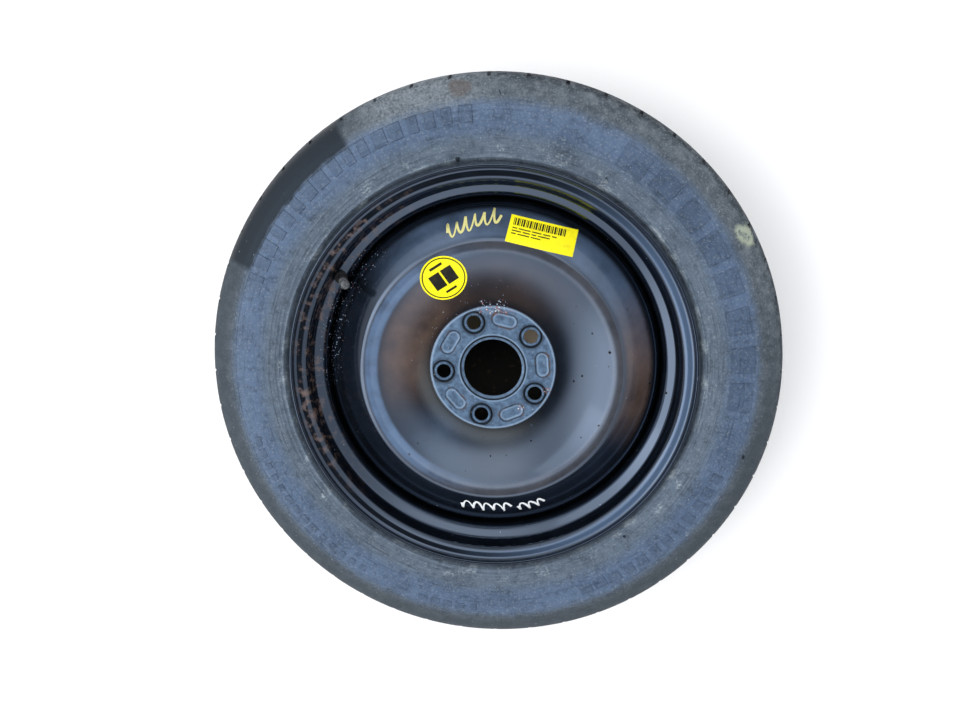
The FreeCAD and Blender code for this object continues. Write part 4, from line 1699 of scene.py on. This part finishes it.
@dataclass
class Studio:
    """Pale floor, soft light and the camera of the reference view."""

    floor_half: float = 8.0
    floor_gap: float = 0.0002
    ground_radius: float = 170.0
    sky_strength: float = 3.6
    sky_colour: str = "b0b1b3"
    horizon_colour: str = "7e7e7e"
    horizon_top: float = 0.42
    horizon_foot: float = 0.26
    floor_colour: str = "fdfdfd"
    shade_colour: str = "120f0c"
    earth_colour: str = "4a3c2c"
    focal_px: float = 850.0
    image_width_px: float = 960.0
    sensor_mm: float = 36.0
    camera_mm: tuple[float, float, float] = (48.1, 202.9, 933.2)
    camera_turn_deg: tuple[float, float] = (-12.1, 3.87)

    def build_floor(self) -> None:
        """Builds the floor just under the tyre, with a painted shadow under the wheel and two painted pools
        of light in it.
        """
        mesh = bmesh.new()
        bmesh.ops.create_grid(mesh, x_segments=1, y_segments=1, size=self.floor_half)
        level = CAD_BOX[0].z - self.floor_gap
        bmesh.ops.translate(mesh, vec=Vector((0, 0, level)), verts=mesh.verts[:])
        graph = Graph("pale_studio_floor", self.floor_colour, 0.9)
        under = graph.ring(-100.0, self.ground_radius, 20.0)
        graph.lay(self.shade_colour, 0.9, under)
        graph.lay(self.earth_colour, 0.9, under, graph.cloud(7.0, 0.6, 0.75))
        # painted pools of light where lit ground shows through two bolt holes
        for x, y, size, colour in ((40.5, 18.2, 13.0, "e0cdb4"), (-27.2, 34.8, 13.0, "a59a7c")):
            graph.lay(colour, 0.9, graph.spot(Vector((x, y, level / MM)) * MM, size, 1.0))
        graph.finish()
        data = bpy.data.meshes.new("studio_floor")
        mesh.to_mesh(data)
        mesh.free()
        data.materials.append(graph.material)
        floor = bpy.data.objects.new("studio_floor", data)
        bpy.context.scene.collection.objects.link(floor)

    def sky_patches(self) -> list[Patch]:
        """Lists what the gloss mirrors: soft lights and dark cloths."""
        return [
            Patch((-0.80, -0.12, 0.58), 8.0, 35.0, "ffffff"),
            Patch((0.06, 0.40, 0.91), 6.0, 26.0, "d6d6d6"),
            Patch((0.75, -0.15, 0.64), 20.0, 48.0, "86888b"),
            Patch((0.05, 0.92, 0.38), 8.0, 22.0, "6a6a6c"),
            Patch((-0.05, -0.87, 0.49), 6.0, 20.0, "b8b9bb"),
            Patch((-0.04, -0.40, 0.91), 9.0, 25.0, "2b2c2f"),
            Patch((-0.95, 0.0, 0.30), 9.0, 20.0, "3f3f41"),
            Patch((0.02, -0.20, 0.98), 14.0, 27.0, "2c2d30"),
        ]

    def build_sky(self) -> None:
        """Lights the studio from a soft sky with a plain pale horizon."""
        world = bpy.data.worlds.new("studio")
        bpy.context.scene.world = world
        world.use_nodes = True
        nodes = Nodes(world.node_tree)
        ray = nodes.add("ShaderNodeTexCoord", out="Generated")
        colour: Any = hex_colour(self.sky_colour)
        for patch in self.sky_patches():
            towards = Vector(patch.direction).normalized()
            facing = nodes.add(
                "ShaderNodeVectorMath", {0: ray, 1: towards}, operation="DOT_PRODUCT", out="Value"
            )
            end, full = math.cos(math.radians(patch.end)), math.cos(math.radians(patch.full))
            ramp = {"Value": facing, "From Min": end, "From Max": full}
            mask = nodes.add("ShaderNodeMapRange", ramp, interpolation_type="SMOOTHSTEP")
            colour = nodes.add(
                "ShaderNodeMix", {0: mask, 6: colour, 7: hex_colour(patch.colour)}, data_type="RGBA", out=2
            )
        height = nodes.add("ShaderNodeSeparateXYZ", {0: ray}, out=2)
        ramp = {"Value": height, "From Min": self.horizon_top, "From Max": self.horizon_foot}
        low = nodes.add("ShaderNodeMapRange", ramp, interpolation_type="SMOOTHSTEP")
        colour = nodes.add(
            "ShaderNodeMix", {0: low, 6: colour, 7: hex_colour(self.horizon_colour)}, data_type="RGBA", out=2
        )
        back = world.node_tree.nodes["Background"]
        nodes.join(colour, back.inputs["Color"])
        nodes.join(self.sky_strength, back.inputs["Strength"])

    def softbox(self, name: str, place: Vector, size: tuple[float, float], watts: float) -> None:
        """Hangs a softbox that looks at the wheel.

        Args:
            name: The lamp's name.
            place: Where it hangs, in metres.
            size: Its width and height, in metres.
            watts: Its power.
        """
        lamp = bpy.data.lights.new(name, "AREA")
        lamp.shape = "RECTANGLE"
        lamp.size, lamp.size_y = size
        lamp.energy = watts
        holder = bpy.data.objects.new(name, lamp)
        holder.location = place
        holder.rotation_mode = "QUATERNION"
        holder.rotation_quaternion = (-place).to_track_quat("-Z", "Y")
        bpy.context.scene.collection.objects.link(holder)

    def build_camera(self) -> None:
        """Sets the camera over the wheel, tilted as in the reference view."""
        data = bpy.data.cameras.new("reference_camera")
        data.sensor_width = self.sensor_mm
        data.lens = self.focal_px / self.image_width_px * self.sensor_mm
        camera = bpy.data.objects.new("reference_camera", data)
        turn = Vector((math.radians(self.camera_turn_deg[0]), math.radians(self.camera_turn_deg[1]), 0))
        place = Matrix.Translation(Vector(self.camera_mm) * MM)
        camera.matrix_world = place @ Matrix.Rotation(turn.length, 4, turn.normalized())
        bpy.context.scene.collection.objects.link(camera)
        bpy.context.scene.camera = camera

    def build(self) -> None:
        """Builds the whole studio."""
        bpy.context.scene.view_settings.view_transform = "Standard"
        self.build_floor()
        self.build_sky()
        self.softbox("key_softbox", Vector((-1.3, 0.6, 1.5)), (1.2, 1.2), 5.0)
        self.build_camera()


def main() -> None:
    """Builds the wheel piece by piece, then the studio round it."""
    logging.basicConfig(level=logging.INFO, format="%(name)s %(message)s")
    valve = Valve()
    steel = SteelWheel()
    Tyre().build()
    rim = steel.build_rim(valve)
    disc = steel.build_disc()
    steel.dress_welds()
    valve.build()
    ground = Ground([disc, rim])
    labels = Labels()
    labels.build_round(ground)
    labels.build_oblong(ground)
    HandMarks().build(ground)
    Studio().build()


if __name__ == "__main__":
    main()
